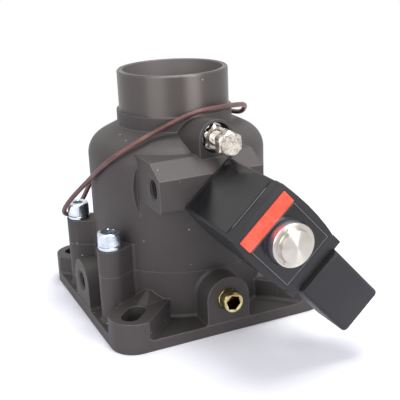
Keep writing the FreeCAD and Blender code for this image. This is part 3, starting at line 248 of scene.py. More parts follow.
# roughness, metallic and anisotropic share of the skin as cast, and where it was turned
AS_CAST, AS_TURNED = (0.56, 0.35, 0.0), (0.46, 0.85, 0.9)
casting, tree, coat, where = begin("hard_anodised_cast_aluminium", "413d3c", *AS_CAST[:2])
axes = add(tree, "SeparateXYZ", {0: where})
flat = add(tree, "CombineXYZ", {0: axes.outputs[0], 1: axes.outputs[1]})
radius = add(tree, "VectorMath", {0: flat.outputs[0]}, operation="LENGTH").outputs["Value"]
print(casting.name)

# %% Where the lathe has been: the neck above its step, and the bore
# in metres: the step, the neck's outside, its bore and the bore's lower end, all as soft edges
STEP, NECK_RADIUS = (0.1189, 0.1192), (0.0346, 0.0343)
BORE_RADIUS, BORE_END = (0.0302, 0.0300), (0.085, 0.086)
high, near, inner, outer, upper = (
    add(tree, "MapRange", {"Value": value, "From Min": ends[0], "From Max": ends[1]}).outputs[0]
    for value, ends in ((axes.outputs[2], STEP), (radius, NECK_RADIUS), (radius, BORE_RADIUS),
                        (radius, BORE_RADIUS[::-1]), (axes.outputs[2], BORE_END)))
sleeve = add(tree, "Math", {0: near, 1: outer}, operation="MULTIPLY")
turned = add(tree, "Math", {0: high, 1: sleeve.outputs[0]}, operation="MULTIPLY").outputs[0]
bore = add(tree, "Math", {0: inner, 1: upper}, operation="MULTIPLY").outputs[0]
print("neck turned above", round(STEP[0] / MM, 1), "mm, bore within", BORE_RADIUS[1] / MM, "mm")

# %% Grain, blotches and turning rings
# blotches of the anodising, 25 mm across
blotch = add(tree, "TexNoise", {"Vector": where, "Scale": 40.0, "Detail": 3.0, "Roughness": 0.6})
# blasted grain: 0.3 mm on the real skin, drawn at 0.8 mm so that it shows in the picture
grain = add(tree, "TexNoise", {"Vector": where, "Scale": 1250.0, "Detail": 3.0, "Roughness": 0.7})
shade = add(tree, "Mix", {0: blotch.outputs["Fac"], 6: linear("363232"), 7: linear("4f4a49")},
            data_type="RGBA")
fine = add(tree, "Mix", {0: grain.outputs["Fac"], 6: linear("2f2b2b"), 7: linear("575251")},
           data_type="RGBA")
skin = add(tree, "Mix", {0: 0.45, 6: shade.outputs[2], 7: fine.outputs[2]}, data_type="RGBA")
# turning marks: the noise reads only radius and height, which makes rings 0.36 mm apart
lanes = add(tree, "CombineXYZ", {0: radius, 2: axes.outputs[2]})
rings = add(tree, "TexNoise", {"Vector": lanes.outputs[0], "Scale": 2800.0, "Detail": 1.0})
lathe = add(tree, "Mix", {0: rings.outputs["Fac"], 6: linear("55504e"), 7: linear("6e6967")},
            data_type="RGBA")
wall = add(tree, "Mix", {0: bore, 6: skin.outputs[2], 7: linear("75706e")}, data_type="RGBA")
body = add(tree, "Mix", {0: turned, 6: wall.outputs[2], 7: lathe.outputs[2]}, data_type="RGBA")
print("colours mixed for skin, bore and neck")

# %% Lighter edges, partly rubbed wear and partly painted highlight, and bright pits
# an edge is where a 0.9 mm rounding would turn the surface away from its own direction
soft = add(tree, "Bevel", {"Radius": 0.0009}, samples=4)
own = add(tree, "NewGeometry")
turn = add(tree, "VectorMath", {0: soft.outputs[0], 1: own.outputs["Normal"]},
           operation="DOT_PRODUCT")
edge = add(tree, "MapRange", {"Value": turn.outputs["Value"], "From Min": 0.985, "From Max": 0.86})
# the edges are drawn lighter, partly as rubbed wear and partly as a painted highlight where they
# catch the light
wear_and_highlight = add(tree, "Math", {0: edge.outputs[0], 1: grain.outputs["Fac"]}, operation="MULTIPLY")
skin_with_edge_wear_and_highlight = add(tree, "Mix", {0: wear_and_highlight.outputs[0], 6: body.outputs[2], 7: linear("8b8683")},
                data_type="RGBA")
# pits 0.7 mm across in 2.2 mm cells, frequent only at the flange's left front: low has its
# value 1 near the floor and left at the left corner, and few cells pass the bar elsewhere
cells = add(tree, "TexVoronoi", {"Vector": where, "Scale": 450.0, "Randomness": 1.0})
dot = add(tree, "MapRange", {"Value": cells.outputs["Distance"], "From Min": 0.18,
                             "From Max": 0.12})
low = add(tree, "MapRange", {"Value": axes.outputs[2], "From Min": 0.034, "From Max": 0.012})
left = add(tree, "MapRange", {"Value": axes.outputs[0], "From Min": -0.02, "From Max": -0.055})
zone = add(tree, "Math", {0: low.outputs[0], 1: left.outputs[0]}, operation="MULTIPLY")
bar = add(tree, "MapRange", {"Value": zone.outputs[0], "To Min": 0.992, "To Max": 0.90})
tint = add(tree, "SeparateColor", {0: cells.outputs["Color"]})
rare = add(tree, "Math", {0: tint.outputs[0], 1: bar.outputs[0]}, operation="GREATER_THAN")
pits = add(tree, "Math", {0: dot.outputs[0], 1: rare.outputs[0]}, operation="MULTIPLY")
final = add(tree, "Mix", {0: pits.outputs[0], 6: skin_with_edge_wear_and_highlight.outputs[2], 7: linear("c9c6c3")},
            data_type="RGBA")
tree.links.new(final.outputs[2], coat.inputs["Base Color"])
print("edges rubbed, pits added")

# %% Sheen and relief
for socket, as_cast, as_turned in zip(("Roughness", "Metallic", "Anisotropic"), AS_CAST,
                                      AS_TURNED):
    level = add(tree, "MapRange", {"Value": turned, "To Min": as_cast, "To Max": as_turned})
    tree.links.new(level.outputs[0], coat.inputs[socket])
# a tangent round the neck, turned by a quarter, stretches the light up the neck
round_neck = add(tree, "Tangent", direction_type="RADIAL", axis="Z")
tree.links.new(round_neck.outputs[0], coat.inputs["Tangent"])
coat.inputs["Anisotropic Rotation"].default_value = 0.25
# relief: blasted grain of up to 0.06 mm, and rings of up to 0.008 mm
sand = add(tree, "Math", {0: grain.outputs["Fac"], 1: 0.00006}, operation="MULTIPLY")
groove = add(tree, "Math", {0: rings.outputs["Fac"], 1: 0.000008}, operation="MULTIPLY")
relief = add(tree, "Mix", {0: turned, 2: sand.outputs[0], 3: groove.outputs[0]})
bump = add(tree, "Bump", {"Height": relief.outputs[0], "Strength": 1.0, "Distance": 1.0,
                          "Normal": soft.outputs[0]})
tree.links.new(bump.outputs[0], coat.inputs["Normal"])
print(casting.name, len(tree.nodes), "nodes")

# %% [markdown]
# ## The metals
#
# The corner screws are steel with a bright bluish zinc plating. The port plug is turned brass.
# The spacer on the coil's end has satin chrome, a cool soft mirror. Inside, the stem and the
# tube are plain turned steel, the plate and the cover are bare aluminium, and the springs are
# blackened. Each could be drawn on its own, but they all show the same things: a metal colour
# that drifts with slow stains, and fine scratches. So one function lays the nodes out, and a
# table gives it the real colours and sizes. The cap and the adjusting screw look different
# enough to get finishes of their own further down.

# %% One layout for metals, plastics and rubbers
def layered(name, dark, light, rough_dark, rough_light, grain_mm, height, metallic, cloud_scale,
            share, detail, gain):
    """A finish with slow clouds and a fine grain that also stands up by height, in metres."""
    made, tree, coat, where = begin(name, light, rough_light, metallic)
    cloud = add(tree, "TexNoise", {"Vector": where, "Scale": cloud_scale, "Detail": 3.0})
    fine = add(tree, "TexNoise", {"Vector": where, "Scale": 1000.0 / grain_mm, "Detail": detail,
                                  "Roughness": gain})
    both = add(tree, "Mix", {0: share, 2: cloud.outputs["Fac"], 3: fine.outputs["Fac"]})
    tone = add(tree, "MapRange", {"Value": both.outputs[0], "From Min": 0.35, "From Max": 0.65})
    colour = add(tree, "Mix", {0: tone.outputs[0], 6: linear(dark), 7: linear(light)},
                 data_type="RGBA")
    rough = add(tree, "MapRange", {"Value": both.outputs[0], "From Min": 0.3, "From Max": 0.7,
                                   "To Min": rough_dark, "To Max": rough_light})
    bump = add(tree, "Bump", {"Height": fine.outputs["Fac"], "Distance": height})
    tree.links.new(colour.outputs[2], coat.inputs["Base Color"])
    tree.links.new(rough.outputs[0], coat.inputs["Roughness"])
    tree.links.new(bump.outputs[0], coat.inputs["Normal"])
    print(name)
    return made


# %% Zinc, brass, chrome, steel, bare aluminium and black oxide
# each row has the dark and the light colour, the roughness of either, and the size in mm and
# the depth in metres of the scratches, which are drawn coarse enough to show; the stains are
# 11 mm across
METAL = {"metallic": 1.0, "cloud_scale": 90.0, "share": 0.4, "detail": 4.0, "gain": 0.65}
zinc, brass, chrome, steel, aluminium, black_oxide = (layered(*row, **METAL) for row in (
    ("bright_zinc_plated_steel", "b4bcc6", "dfe7ef", 0.26, 0.16, 2.2, 0.000012),
    ("turned_brass", "bfa458", "eadca8", 0.26, 0.14, 1.8, 0.00001),
    ("satin_chrome_plate", "c9c9d6", "e6e6f0", 0.40, 0.30, 2.5, 0.000006),
    ("turned_steel", "7d7c7a", "b3b1ae", 0.42, 0.26, 0.9, 0.00002),
    ("machined_bare_aluminium", "9b9893", "c4c1bb", 0.44, 0.30, 0.8, 0.00002),
    ("black_oxide_spring_steel", "2c2b2b", "4a4847", 0.5, 0.34, 1.0, 0.00002)))

# %% [markdown]
# ## The plastics, rubbers and films
#
# The coil is overmoulded with black glass-filled nylon, which is matt with a faint cloudy skin
# from the glass. The cable plug is a smoother polyamide, a shade bluer. Seals are
# nitrile rubber. The loose ring is a brown fluorocarbon rubber with a soft sheen. The
# labels are polyester film, printed on the back, so their ink lies under a smooth clear skin.
# The layout made for the metals serves here too, without the metal and with a softer grain. On a
# metal the dark stains are the rougher places, and on a plastic the pale rubbed ones are.

# %% Nylon, rubber and film
# rows as above: the grain of the mouldings is 0.1 to 0.3 mm, drawn at 0.6 mm and more so that it
# shows, and the clouds are 9 mm across
SOFT = {"metallic": 0.0, "cloud_scale": 110.0, "share": 0.5, "detail": 3.0, "gain": 0.5}
nylon, polyamide, seal_rubber, ring_rubber, black_film, orange_film = (
    layered(*row, **SOFT) for row in (
        ("glass_filled_nylon_moulding", "0b0b0d", "17171b", 0.42, 0.58, 0.7, 0.00002),
        ("smooth_polyamide_moulding", "0a0b0f", "14151a", 0.44, 0.54, 0.6, 0.000012),
        ("nitrile_rubber", "121214", "232326", 0.55, 0.7, 0.8, 0.00002),
        ("brown_fluorocarbon_rubber", "4c2f2e", "6b4745", 0.34, 0.46, 1.2, 0.000015),
        ("black_polyester_film", "08080a", "111114", 0.16, 0.26, 4.0, 0.00001),
        ("orange_polyester_film", "f0452c", "f9593f", 0.22, 0.32, 4.0, 0.00001)))

# %% [markdown]
# ## Dress the CAD nodes that stay
#
# The casing halves and the inner working parts have the right shape already. They could be made
# again here, but that would only risk a gap between what shows and what is measured. So each
# just swaps the flat colour that the CAD file gave it for one of the finishes above.

# %% Finishes for the kept nodes
kept = {
    casting: ("lower_casing", "upper_casing"),
    seal_rubber: ("casing_seal", "piston_seal", "plate_seal", "plunger_seal", "gland_seal",
                  "connector_gasket"),
    aluminium: ("cylinder_cover", "intake_plate", "piston"),
    brass: ("guide_bush", "coil_terminals"),
    black_oxide: ("circlip",),
    steel: ("stem_washer", "stem_nuts", "valve_stem", "armature_tube", "core_stop", "plunger",
            "bypass_needle"),
}
for finish, names in kept.items():
    for name in names:
        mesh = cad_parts[name].data
        mesh.materials.clear()
        mesh.materials.append(finish)
print(sum(len(names) for names in kept.values()), "nodes dressed")

# %% [markdown]
# ## Building pieces in the place they belong
#
# Small turned and moulded parts could be drawn where they sit, but that makes awkward numbers.
# It is simpler to draw each one in millimetres along its own axis and let one matrix put it in
# place. The places used most are upright, forward along the solenoid, forward along the adjusting
# screw, and the coil's own frame, which is the solenoid's turned by 47.7 degrees. One helper
# cleans the mesh, moves it there, gives it its finish and lets it ride on its body.

# %% Places, and the helper that finishes a piece
# x and z, in mm, of the two axes that point forward
SOLENOID, SCREW_AXIS = (4.3, 73.75), (0.0, 111.5)
COIL_TURN = math.radians(47.7)


def forward(x, z, turn=0.0):
    """Millimetres with z along -Y, turned about that axis, from (x, z) of the row frame."""
    tip = Matrix(((1, 0, 0, x), (0, 0, -1, 0), (0, 1, 0, z), (0, 0, 0, 1)))
    return Matrix.Scale(MM, 4) @ tip @ Matrix.Rotation(-turn, 4, "Z")


UPRIGHT = Matrix.Scale(MM, 4)
ON_SOLENOID = forward(*SOLENOID)
ON_COIL = forward(*SOLENOID, COIL_TURN)
ON_SCREW = forward(*SCREW_AXIS)
print("solenoid", SOLENOID[1], "mm and adjusting screw", SCREW_AXIS[1], "mm above the base")


def piece(name, bm, where, finish, body, replaced=(), sharp=32):
    """Turn a bmesh into a piece of the scene that rides on a body."""
    bmesh.ops.remove_doubles(bm, verts=bm.verts, dist=0.0005)
    bmesh.ops.recalc_face_normals(bm, faces=bm.faces)
    bmesh.ops.transform(bm, matrix=where, verts=bm.verts)
    mesh = bpy.data.meshes.new(name)
    bm.to_mesh(mesh)
    bm.free()
    mesh.polygons.foreach_set("use_smooth", [True] * len(mesh.polygons))
    mesh.set_sharp_from_angle(angle=math.radians(sharp))
    mesh.materials.append(finish)
    made = bpy.data.objects.new(name, mesh)
    bpy.context.scene.collection.objects.link(made)
    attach(made, body)
    if replaced:
        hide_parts(*replaced)
    print(name, len(mesh.polygons), "faces")
    return made


# %% [markdown]
# ## Screws and washers
#
# Turned parts are a half outline spun about their axis, which is how a lathe makes them. A hexagon
# could be drawn on its own, but a real hexagon head is turned first and milled after, and that
# order also gives the curved edges where the chamfer meets the flats: so the head is spun round
# and then every point outside the hexagon is pulled in to it. A socket is made the same way.

# %% Spin an outline, mill a hexagon
def revolve(profile, steps=72, closed=False):
    """Spin a row of (radius, height) points about the height axis."""
    bm = bmesh.new()
    row = [bm.verts.new((r, 0, h)) for r, h in profile]
    pairs = list(zip(row, row[1:])) + ([(row[-1], row[0])] if closed else [])
    edges = [bm.edges.new(pair) for pair in pairs]
    bmesh.ops.spin(bm, geom=row + edges, cent=(0, 0, 0), axis=(0, 0, 1), dvec=(0, 0, 0),
                   angle=math.tau, steps=steps, use_merge=True, use_duplicate=False)
    bmesh.ops.remove_doubles(bm, verts=bm.verts, dist=0.0005)
    return bm


def mill(bm, flats, inside=math.inf, low=-math.inf, high=math.inf):
    """Pull points in to a hexagon, where they are within inside of the axis and low to high."""
    for vert in bm.verts:
        r = math.hypot(vert.co.x, vert.co.y)
        if r < 1e-6 or r > inside or not low <= vert.co.z <= high:
            continue
        angle = (math.atan2(vert.co.y, vert.co.x) + math.pi / 6) % (math.pi / 3) - math.pi / 6
        limit = flats / 2 / math.cos(angle)
        if r > limit:
            vert.co.x *= limit / r
            vert.co.y *= limit / r


def spun(bm, angle):
    """Turn a bmesh about its own axis."""
    bmesh.ops.rotate(bm, verts=bm.verts, cent=(0, 0, 0), matrix=Matrix.Rotation(angle, 3, "Z"))


print("helpers", revolve.__name__, mill.__name__, "and", spun.__name__)

# %% Four socket head screws with a knurled head
# all in mm: the head's radius, top and seat, the shank's radius and tip, the key's width and the
# top of the knurls
HEAD, TOP, SEAT, SHANK, TIP, KEY, KNURL_TOP = 6.5, 60.0, 52.0, 4.0, 17.0, 6.0, 58.3
KNURLS, KNURL_DEPTH = 48, 0.16
SCREW_PLACES = (55.5, 29.5), (-55.5, 29.5), (-55.5, -29.5), (55.5, -29.5)
key_corner = KEY / math.sqrt(3)
for index, (x, y) in enumerate(SCREW_PLACES):
    bm = revolve([(0, TIP), (SHANK - 0.7, TIP), (SHANK, TIP + 0.7), (SHANK, SEAT), (6.1, SEAT),
                  (HEAD, SEAT + 0.3), (HEAD, SEAT + 1.0), (HEAD, KNURL_TOP), (HEAD, 58.9),
                  (6.25, 59.55), (5.75, 59.9), (5.3, TOP), (4.1, TOP), (key_corner + 0.25, TOP),
                  (key_corner, 59.75), (key_corner, 56), (2.4, 55.7), (0, 55.1)],
                 steps=2 * KNURLS)
    # every second line of the head's wall is pushed in, which leaves straight knurls
    for vert in bm.verts:
        on_wall = abs(math.hypot(vert.co.x, vert.co.y) - HEAD) < 0.01
        if on_wall and SEAT + 0.5 < vert.co.z < KNURL_TOP + 0.3:
            if round(math.atan2(vert.co.y, vert.co.x) / math.pi * KNURLS) % 2:
                vert.co.x *= 1 - KNURL_DEPTH / HEAD
                vert.co.y *= 1 - KNURL_DEPTH / HEAD
    mill(bm, KEY, inside=key_corner + 0.01, low=55.5)
    # no two sockets point the same way once the screws are tight
    spun(bm, 0.4 + 1.3 * index)
    bmesh.ops.translate(bm, verts=bm.verts, vec=(x, y, 0))
    piece(f"casing_screw_{index + 1}", bm, UPRIGHT, zinc, "casing",
          ["casing_screws"], sharp=25)

# %% Four split spring washers
SPLIT = math.radians(14)
for index, (x, y) in enumerate(SCREW_PLACES):
    bm = bmesh.new()
    ring = [bm.verts.new((r, 0, z)) for r, z in ((4.4, 50.0), (6.4, 50.0), (6.7, 50.25),
                                                 (6.7, 51.75), (6.4, SEAT), (4.4, SEAT))]
    edges = [bm.edges.new((a, b)) for a, b in zip(ring, ring[1:] + ring[:1])]
    bmesh.ops.spin(bm, geom=ring + edges, cent=(0, 0, 0), axis=(0, 0, 1), dvec=(0, 0, 0),
                   angle=math.tau - SPLIT, steps=60, use_merge=False, use_duplicate=False)
    bmesh.ops.holes_fill(bm, edges=[e for e in bm.edges if e.is_boundary], sides=0)
    spun(bm, -1.7 + 0.9 * index)
    bmesh.ops.translate(bm, verts=bm.verts, vec=(x, y, 0))
    piece(f"spring_washer_{index + 1}", bm, UPRIGHT, zinc, "casing",
          ["spring_washers"])

# %% [markdown]
# ## Springs wound again
#
# Two springs are pressed when the plate and the plunger move. As CAD solids they keep their
# length, and the larger one would stick out through the plate as it opens. Here each is wound
# again, as a circle of wire that is spun while it climbs over the length of its CAD solid. Both
# are coiled from blackened spring steel.

# %% Wind two springs
TURNS, STEPS_PER_TURN = 5, 36
# radius of the coil, thickness of the wire and travel of the joint are in mm
for node, where, along, radius, wire, joint, travel in (
        ("return_spring", UPRIGHT, (0, 0, 1), 11.0, 2.4, "valve_lift", 12.0),
        ("plunger_spring", ON_SOLENOID, (0, -1, 0), 1.8, 0.8, "armature_lift", 1.7)):
    low, high = sorted(Vector(along).dot(corner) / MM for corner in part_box(node))
    bm = bmesh.new()
    start = Matrix.Translation((radius, 0, low + wire / 2)) @ Matrix.Rotation(
        math.pi / 2, 4, "X")
    wire_end = bmesh.ops.create_circle(bm, segments=12, radius=wire / 2, matrix=start)["verts"]
    steps = TURNS * STEPS_PER_TURN
    bmesh.ops.spin(bm, geom=wire_end + bm.edges[:], cent=(0, 0, 0), axis=(0, 0, 1),
                   dvec=(0, 0, (high - low - wire) / steps), angle=math.tau * TURNS,
                   steps=steps, use_merge=False, use_duplicate=False)
    bmesh.ops.holes_fill(bm, edges=[e for e in bm.edges if e.is_boundary], sides=0)
    made = piece(node + "_wound", bm, where, black_oxide, "casing", [node])
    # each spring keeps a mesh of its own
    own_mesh(made)
    print(node, "from", round(low, 2), "to", round(high, 2), "mm")

# %% [markdown]
# ## Threads
#
# A thread is a groove that climbs as it goes round. Rings would look nearly the same from
# afar, but a real helix is one spin operator away: a blunt V is spun several turns while it rises
# by one pitch per turn. Flat cuts then square off both ends, and the ends are filled.

# %% A helix with squared ends
def thread(root, crest, start, stop, pitch, sleeve=None):
    """A threaded rod from start to stop, or with sleeve a lining of that outer radius."""
    bm = bmesh.new()
    low = start - pitch
    turns = math.ceil((stop - low) / pitch) + 1
    # one pitch of the outline, as shares of the pitch: a flat, a flank, the crest and back
    row = [bm.verts.new((r, 0, low + h * pitch)) for r, h in (
        (root, 0), (root, 0.12), (crest, 0.44), (crest, 0.56), (root, 0.88), (root, 1.0))]
    edges = [bm.edges.new(pair) for pair in zip(row, row[1:])]
    bmesh.ops.spin(bm, geom=row + edges, cent=(0, 0, 0), axis=(0, 0, 1),
                   dvec=(0, 0, pitch / STEPS_PER_TURN), angle=math.tau * turns,
                   steps=STEPS_PER_TURN * turns, use_merge=False, use_duplicate=False)
    bmesh.ops.remove_doubles(bm, verts=bm.verts, dist=0.001)
    for height, way in ((start, -1), (stop, 1)):
        geom = bm.verts[:] + bm.edges[:] + bm.faces[:]
        bmesh.ops.bisect_plane(bm, geom=geom, dist=0.0001, plane_co=(0, 0, height),
                               plane_no=(0, 0, way), clear_outer=True, clear_inner=False)
    if sleeve:
        rims = [bmesh.ops.create_circle(bm, segments=STEPS_PER_TURN, radius=sleeve,
                                        matrix=Matrix.Translation((0, 0, height)))["verts"]
                for height in (start, stop)]
        walls = [e for rim in rims for e in {e for v in rim for e in v.link_edges}]
        bmesh.ops.bridge_loops(bm, edges=walls)
    for height in (start, stop):
        rim = [e for e in bm.edges if e.is_boundary
               and all(abs(v.co.z - height) < 0.002 for v in e.verts)]
        bmesh.ops.triangle_fill(bm, edges=rim, use_beauty=True)
    return bm


print("helper thread:", thread.__doc__)

# %% Brass plug of the front port
# a plug with a 1.337 mm pipe thread and a hexagon socket; the photograph shows its face 6.8 mm
# out of the pad, further than the CAD plug stands
PLUG_BACK = -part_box("port_plug")[1].y / MM
PORT_HEIGHT, PORT_SEAT, PORT_PITCH, PORT_THREAD = 20.5, 65.5, 1.337, 5.86
PLUG_FACE, PLUG_RADIUS, BROACH, BROACH_DEPTH, PLUG_TURN = 72.3, 5.8, 7.6, 5.6, 0.25
ON_PORT = forward(0, PORT_HEIGHT)
broach_corner = BROACH / math.sqrt(3)
bm = revolve([(0, PLUG_BACK), (5.0, PLUG_BACK), (5.15, PLUG_BACK + 0.2), (5.15, PORT_SEAT),
              (PLUG_RADIUS - 0.1, PORT_SEAT + 0.2), (PLUG_RADIUS, PORT_SEAT + 0.6),
              (PLUG_RADIUS, PLUG_FACE - 0.7), (PLUG_RADIUS - 0.2, PLUG_FACE - 0.25),
              (PLUG_RADIUS - 0.6, PLUG_FACE), (broach_corner + 0.35, PLUG_FACE),
              (broach_corner, PLUG_FACE - 0.4), (broach_corner, PLUG_FACE - BROACH_DEPTH),
              (0, PLUG_FACE - BROACH_DEPTH)], steps=96)
mill(bm, BROACH, inside=broach_corner + 0.01, low=PLUG_FACE - BROACH_DEPTH - 0.1,
     high=PLUG_FACE - 0.3)
spun(bm, PLUG_TURN)
piece("brass_port_plug", bm, ON_PORT, brass, "casing", ["port_plug"])
bm = thread(5.1, PORT_THREAD, PLUG_BACK + 0.3, PORT_SEAT + 0.3, PORT_PITCH)
piece("brass_plug_thread", bm, ON_PORT, brass, "casing")

# %% Painted shade and glints in the plug's socket
# the socket's walls get a thin dark brown lining, a painted shade for the deep socket, and its
# brighter spots 1.4 mm across are painted glints
socket_shade, tree, coat, where = begin("brass_socket_painted_shade", "3a2a10", 0.34, 1.0)
glint_noise = add(tree, "TexNoise", {"Vector": where, "Scale": 700.0, "Detail": 3.0})
painted_glint = add(tree, "MapRange", {"Value": glint_noise.outputs["Fac"], "From Min": 0.5, "From Max": 0.68})
tone = add(tree, "Mix", {0: painted_glint.outputs[0], 6: linear("1c150b"), 7: linear("7c5415")},
           data_type="RGBA")
tree.links.new(tone.outputs[2], coat.inputs["Base Color"])
# a dark sheet laid inside the socket where there is shade
shade_lining = broach_corner - 0.06
bm = revolve([(shade_lining, PLUG_FACE - 0.5), (shade_lining, PLUG_FACE - 5.5), (2.0, PLUG_FACE - 5.5),
              (0, PLUG_FACE - 5.54), (0, PLUG_FACE - 5.58), (broach_corner, PLUG_FACE - 5.58),
              (broach_corner - 0.01, PLUG_FACE - 0.5)], steps=96, closed=True)
mill(bm, BROACH - 0.08)
spun(bm, PLUG_TURN)
piece("brass_plug_socket_shade", bm, ON_PORT, socket_shade, "casing")

# %% Threads in the two open ports
# a lining from 0.9 to 11 mm behind each port's face, whose thread points inwards
THREAD_END, THREAD_START = -11.0, -0.9
for name, mouth in (("control_port_thread", (-38.2, -56.3, 88.7)),
                    ("side_port_thread", (-65.5, 0.0, PORT_HEIGHT))):
    bm = thread(PORT_THREAD, 5.2, THREAD_END, THREAD_START, PORT_PITCH, sleeve=5.89)
    aim = Matrix.Translation(mouth) @ Matrix.Rotation(-math.pi / 2, 4, "Y")
    piece(name, bm, UPRIGHT @ aim, casting, "casing")

# %% [markdown]
# ## Adjusting screw and lock nut
#
# The screw is what the eye finds first: a hexagon screw with a bright worn head that stands well
# out of its horn, with a nut and washer that lock it. Head and nut are turned and then
# milled as above. The head's end is slightly rough, like a forged face that was never
# machined, so it gets a coarser, warmer plating than the corner screws.

# %% Worn bright finish for the screw
worn, tree, coat, where = begin("worn_nickel_plated_forging", "ded8ce", 0.26, 1.0)
# rubbed patches 2.1 mm across, and marks drawn at 0.5 mm that are finer on the real head
patches = add(tree, "TexNoise", {"Vector": where, "Scale": 480.0, "Detail": 3.0, "Roughness": 0.6})
marks = add(tree, "TexNoise", {"Vector": where, "Scale": 1900.0, "Detail": 2.0, "Roughness": 0.6,
                               "Distortion": 1.2})
tone = add(tree, "MapRange", {"Value": patches.outputs["Fac"], "From Min": 0.36, "From Max": 0.6})
stain = add(tree, "MapRange", {"Value": marks.outputs["Fac"], "From Min": 0.40, "From Max": 0.50})
plated = add(tree, "Mix", {0: tone.outputs[0], 6: linear("b5aa9c"), 7: linear("f1ede6")},
             data_type="RGBA")
dull = add(tree, "Mix", {0: stain.outputs[0], 6: linear("8f8577"), 7: plated.outputs[2]},
           data_type="RGBA")
both = add(tree, "Mix", {0: 0.6, 6: plated.outputs[2], 7: dull.outputs[2]}, data_type="RGBA")
rough = add(tree, "MapRange", {"Value": marks.outputs["Fac"], "To Min": 0.36, "To Max": 0.16})
bump = add(tree, "Bump", {"Height": patches.outputs["Fac"], "Distance": 0.00016})
tree.links.new(both.outputs[2], coat.inputs["Base Color"])
tree.links.new(rough.outputs[0], coat.inputs["Roughness"])
tree.links.new(bump.outputs[0], coat.inputs["Normal"])
print(worn.name)

# %% Screw, nut and washer
# 13 mm across flats and an 8 mm thread, whose pitch is 1.25 mm
FLATS, HEAD_BACK, SHANK_TIP, SCREW_PITCH = 13.0, 67.6, 43.0, 1.25
corner = FLATS / math.sqrt(3)
bm = revolve([(0, HEAD_BACK), (6.0, HEAD_BACK), (corner, 68.2), (corner, 72.6), (6.55, 73.2),
              (6.1, 73.45), (5.9, 73.9), (5.5, 74.0), (4.6, 73.8), (2.0, 73.7), (0, 73.75)],
             steps=96)
mill(bm, FLATS)
piece("adjusting_screw_head", bm, ON_SCREW, worn, "adjuster", ["adjusting_screw"])
bm = thread(3.45, 4.0, SHANK_TIP, HEAD_BACK, SCREW_PITCH)
piece("adjusting_screw_shank", bm, ON_SCREW, worn, "adjuster")
bm = revolve([(4.1, 51.85), (6.3, 51.85), (corner, 52.4), (corner, 55.7), (6.2, 56.3),
              (4.6, 56.3), (4.1, 55.9)], closed=True)
mill(bm, FLATS)
spun(bm, 0.1)
piece("lock_nut_bright", bm, ON_SCREW, worn, "casing", ["lock_nut"])
bm = revolve([(4.2, 51.02), (7.4, 51.02), (7.6, 51.2), (7.6, 51.6), (7.4, 51.8), (4.2, 51.8)],
             closed=True)
piece("lock_washer_bright", bm, ON_SCREW, zinc, "casing", ["lock_washer"])

# %% [markdown]
# ## The solenoid coil
#
# The coil is a winding overmoulded in black nylon. Its two flanks bulge like a barrel, its
# head has a slightly larger band, and the cable blades leave through a block on one side. It
# could be cut from a box, but an outline of few points that is extruded follows the moulding
# better, and the mould's rounded edges come from one bevel. Its body is drawn 0.3 mm slimmer
# than the head band, so that a fine line shows where the two meet.

# %% Extrude an outline and round its edges
def prism(outline, low, high, edge, bm=None, chosen=lambda e: True):
    """A body over an outline of (x, y) points, with the chosen sharp edges rounded by edge."""
    bm = bm or bmesh.new()
    base = bm.faces.new([bm.verts.new((x, y, low)) for x, y in outline])
    raised = bmesh.ops.extrude_face_region(bm, geom=[base])["geom"]
    top = [v for v in raised if isinstance(v, bmesh.types.BMVert)]
    bmesh.ops.translate(bm, verts=top, vec=(0, 0, high - low))
    bmesh.ops.recalc_face_normals(bm, faces=bm.faces)
    picked = [e for e in bm.edges
              if abs(e.calc_face_angle(0)) > math.radians(12) and chosen(e)]
    bmesh.ops.bevel(bm, geom=picked, offset=edge, offset_type="OFFSET", affect="EDGES",
                    segments=3, profile=0.5, material=-1, clamp_overlap=True)
    return bm


SIDE_FACE = -24.1


def barrel(inset):
    """Outline of the coil across its axis: x towards the cable plug."""
    half, knee, face = 18.2 - inset, 19.7 - inset, 18.3 - inset
    flank = [(SIDE_FACE + inset, half - 0.8), (-23.4, half), (-14.0, half + 0.95), (-5.0, knee),
             (4.0, knee - 0.1), (12.0, knee - 0.65), (18.0, half)]
    # a groove, and then the block that the cable blades leave through
    block = [(18.5, half - 0.8), (19.1, half - 0.8), (19.4, face), (25.4, face)]
    upper = flank + block
    return upper + [(x, -y) for x, y in reversed(upper)]


# in mm along the coil: where the moulding starts, where its head band starts, its end face
COIL_BACK, BAND_START, COIL_FACE = 67.0, 116.0, 122.4
bm = prism(barrel(0.3), COIL_BACK, BAND_START + 0.2, 0.6)
prism(barrel(0.0), BAND_START, COIL_FACE, 0.9, bm=bm,
      chosen=lambda e: min(v.co.z for v in e.verts) > BAND_START - 0.1)
piece("coil_moulding", bm, ON_COIL, nylon, "coil", ["coil_housing"])

# %% [markdown]
# ## Labels
#
# On the real coil the end face has an orange strip and a black film, and its upper side carries a
# black panel. What is printed there is left out, and the sheets stay bare, apart from one fine
# grey border line on the end face and the grey raised edge above the side panel, which are painted
# highlights where the film's edges catch the light. They could be painted on, but their edges and
# the slight gloss of the film are what makes them read as labels, so they are cut as thin sheets.

# %% Thin sheets cut to an outline
def corners(left, right, low, high, radius, count=4):
    """A rectangle with rounded corners as a list of points."""
    points = []
    for cx, cy, start in ((right - radius, high - radius, 0), (left + radius, high - radius, 90),
                          (left + radius, low + radius, 180), (right - radius, low + radius, 270)):
        for k in range(count + 1):
            angle = math.radians(start + 90 * k / count)
            points.append((cx + radius * math.cos(angle), cy + radius * math.sin(angle)))
    return points


def cut_sheet(outer, inner, low, high):
    """A flat sheet between an outer outline and an optional inner one."""
    bm = bmesh.new()
    for points in (outer, inner):
        row = [bm.verts.new((x, y, low)) for x, y in points or ()]
        for a, b in zip(row, row[1:] + row[:1]):
            bm.edges.new((a, b))
    bmesh.ops.triangle_fill(bm, edges=bm.edges[:], use_beauty=True)
    raised = bmesh.ops.extrude_face_region(bm, geom=bm.faces[:])["geom"]
    bmesh.ops.translate(bm, verts=[v for v in raised if isinstance(v, bmesh.types.BMVert)],
                        vec=(0, 0, high - low))
    return bm


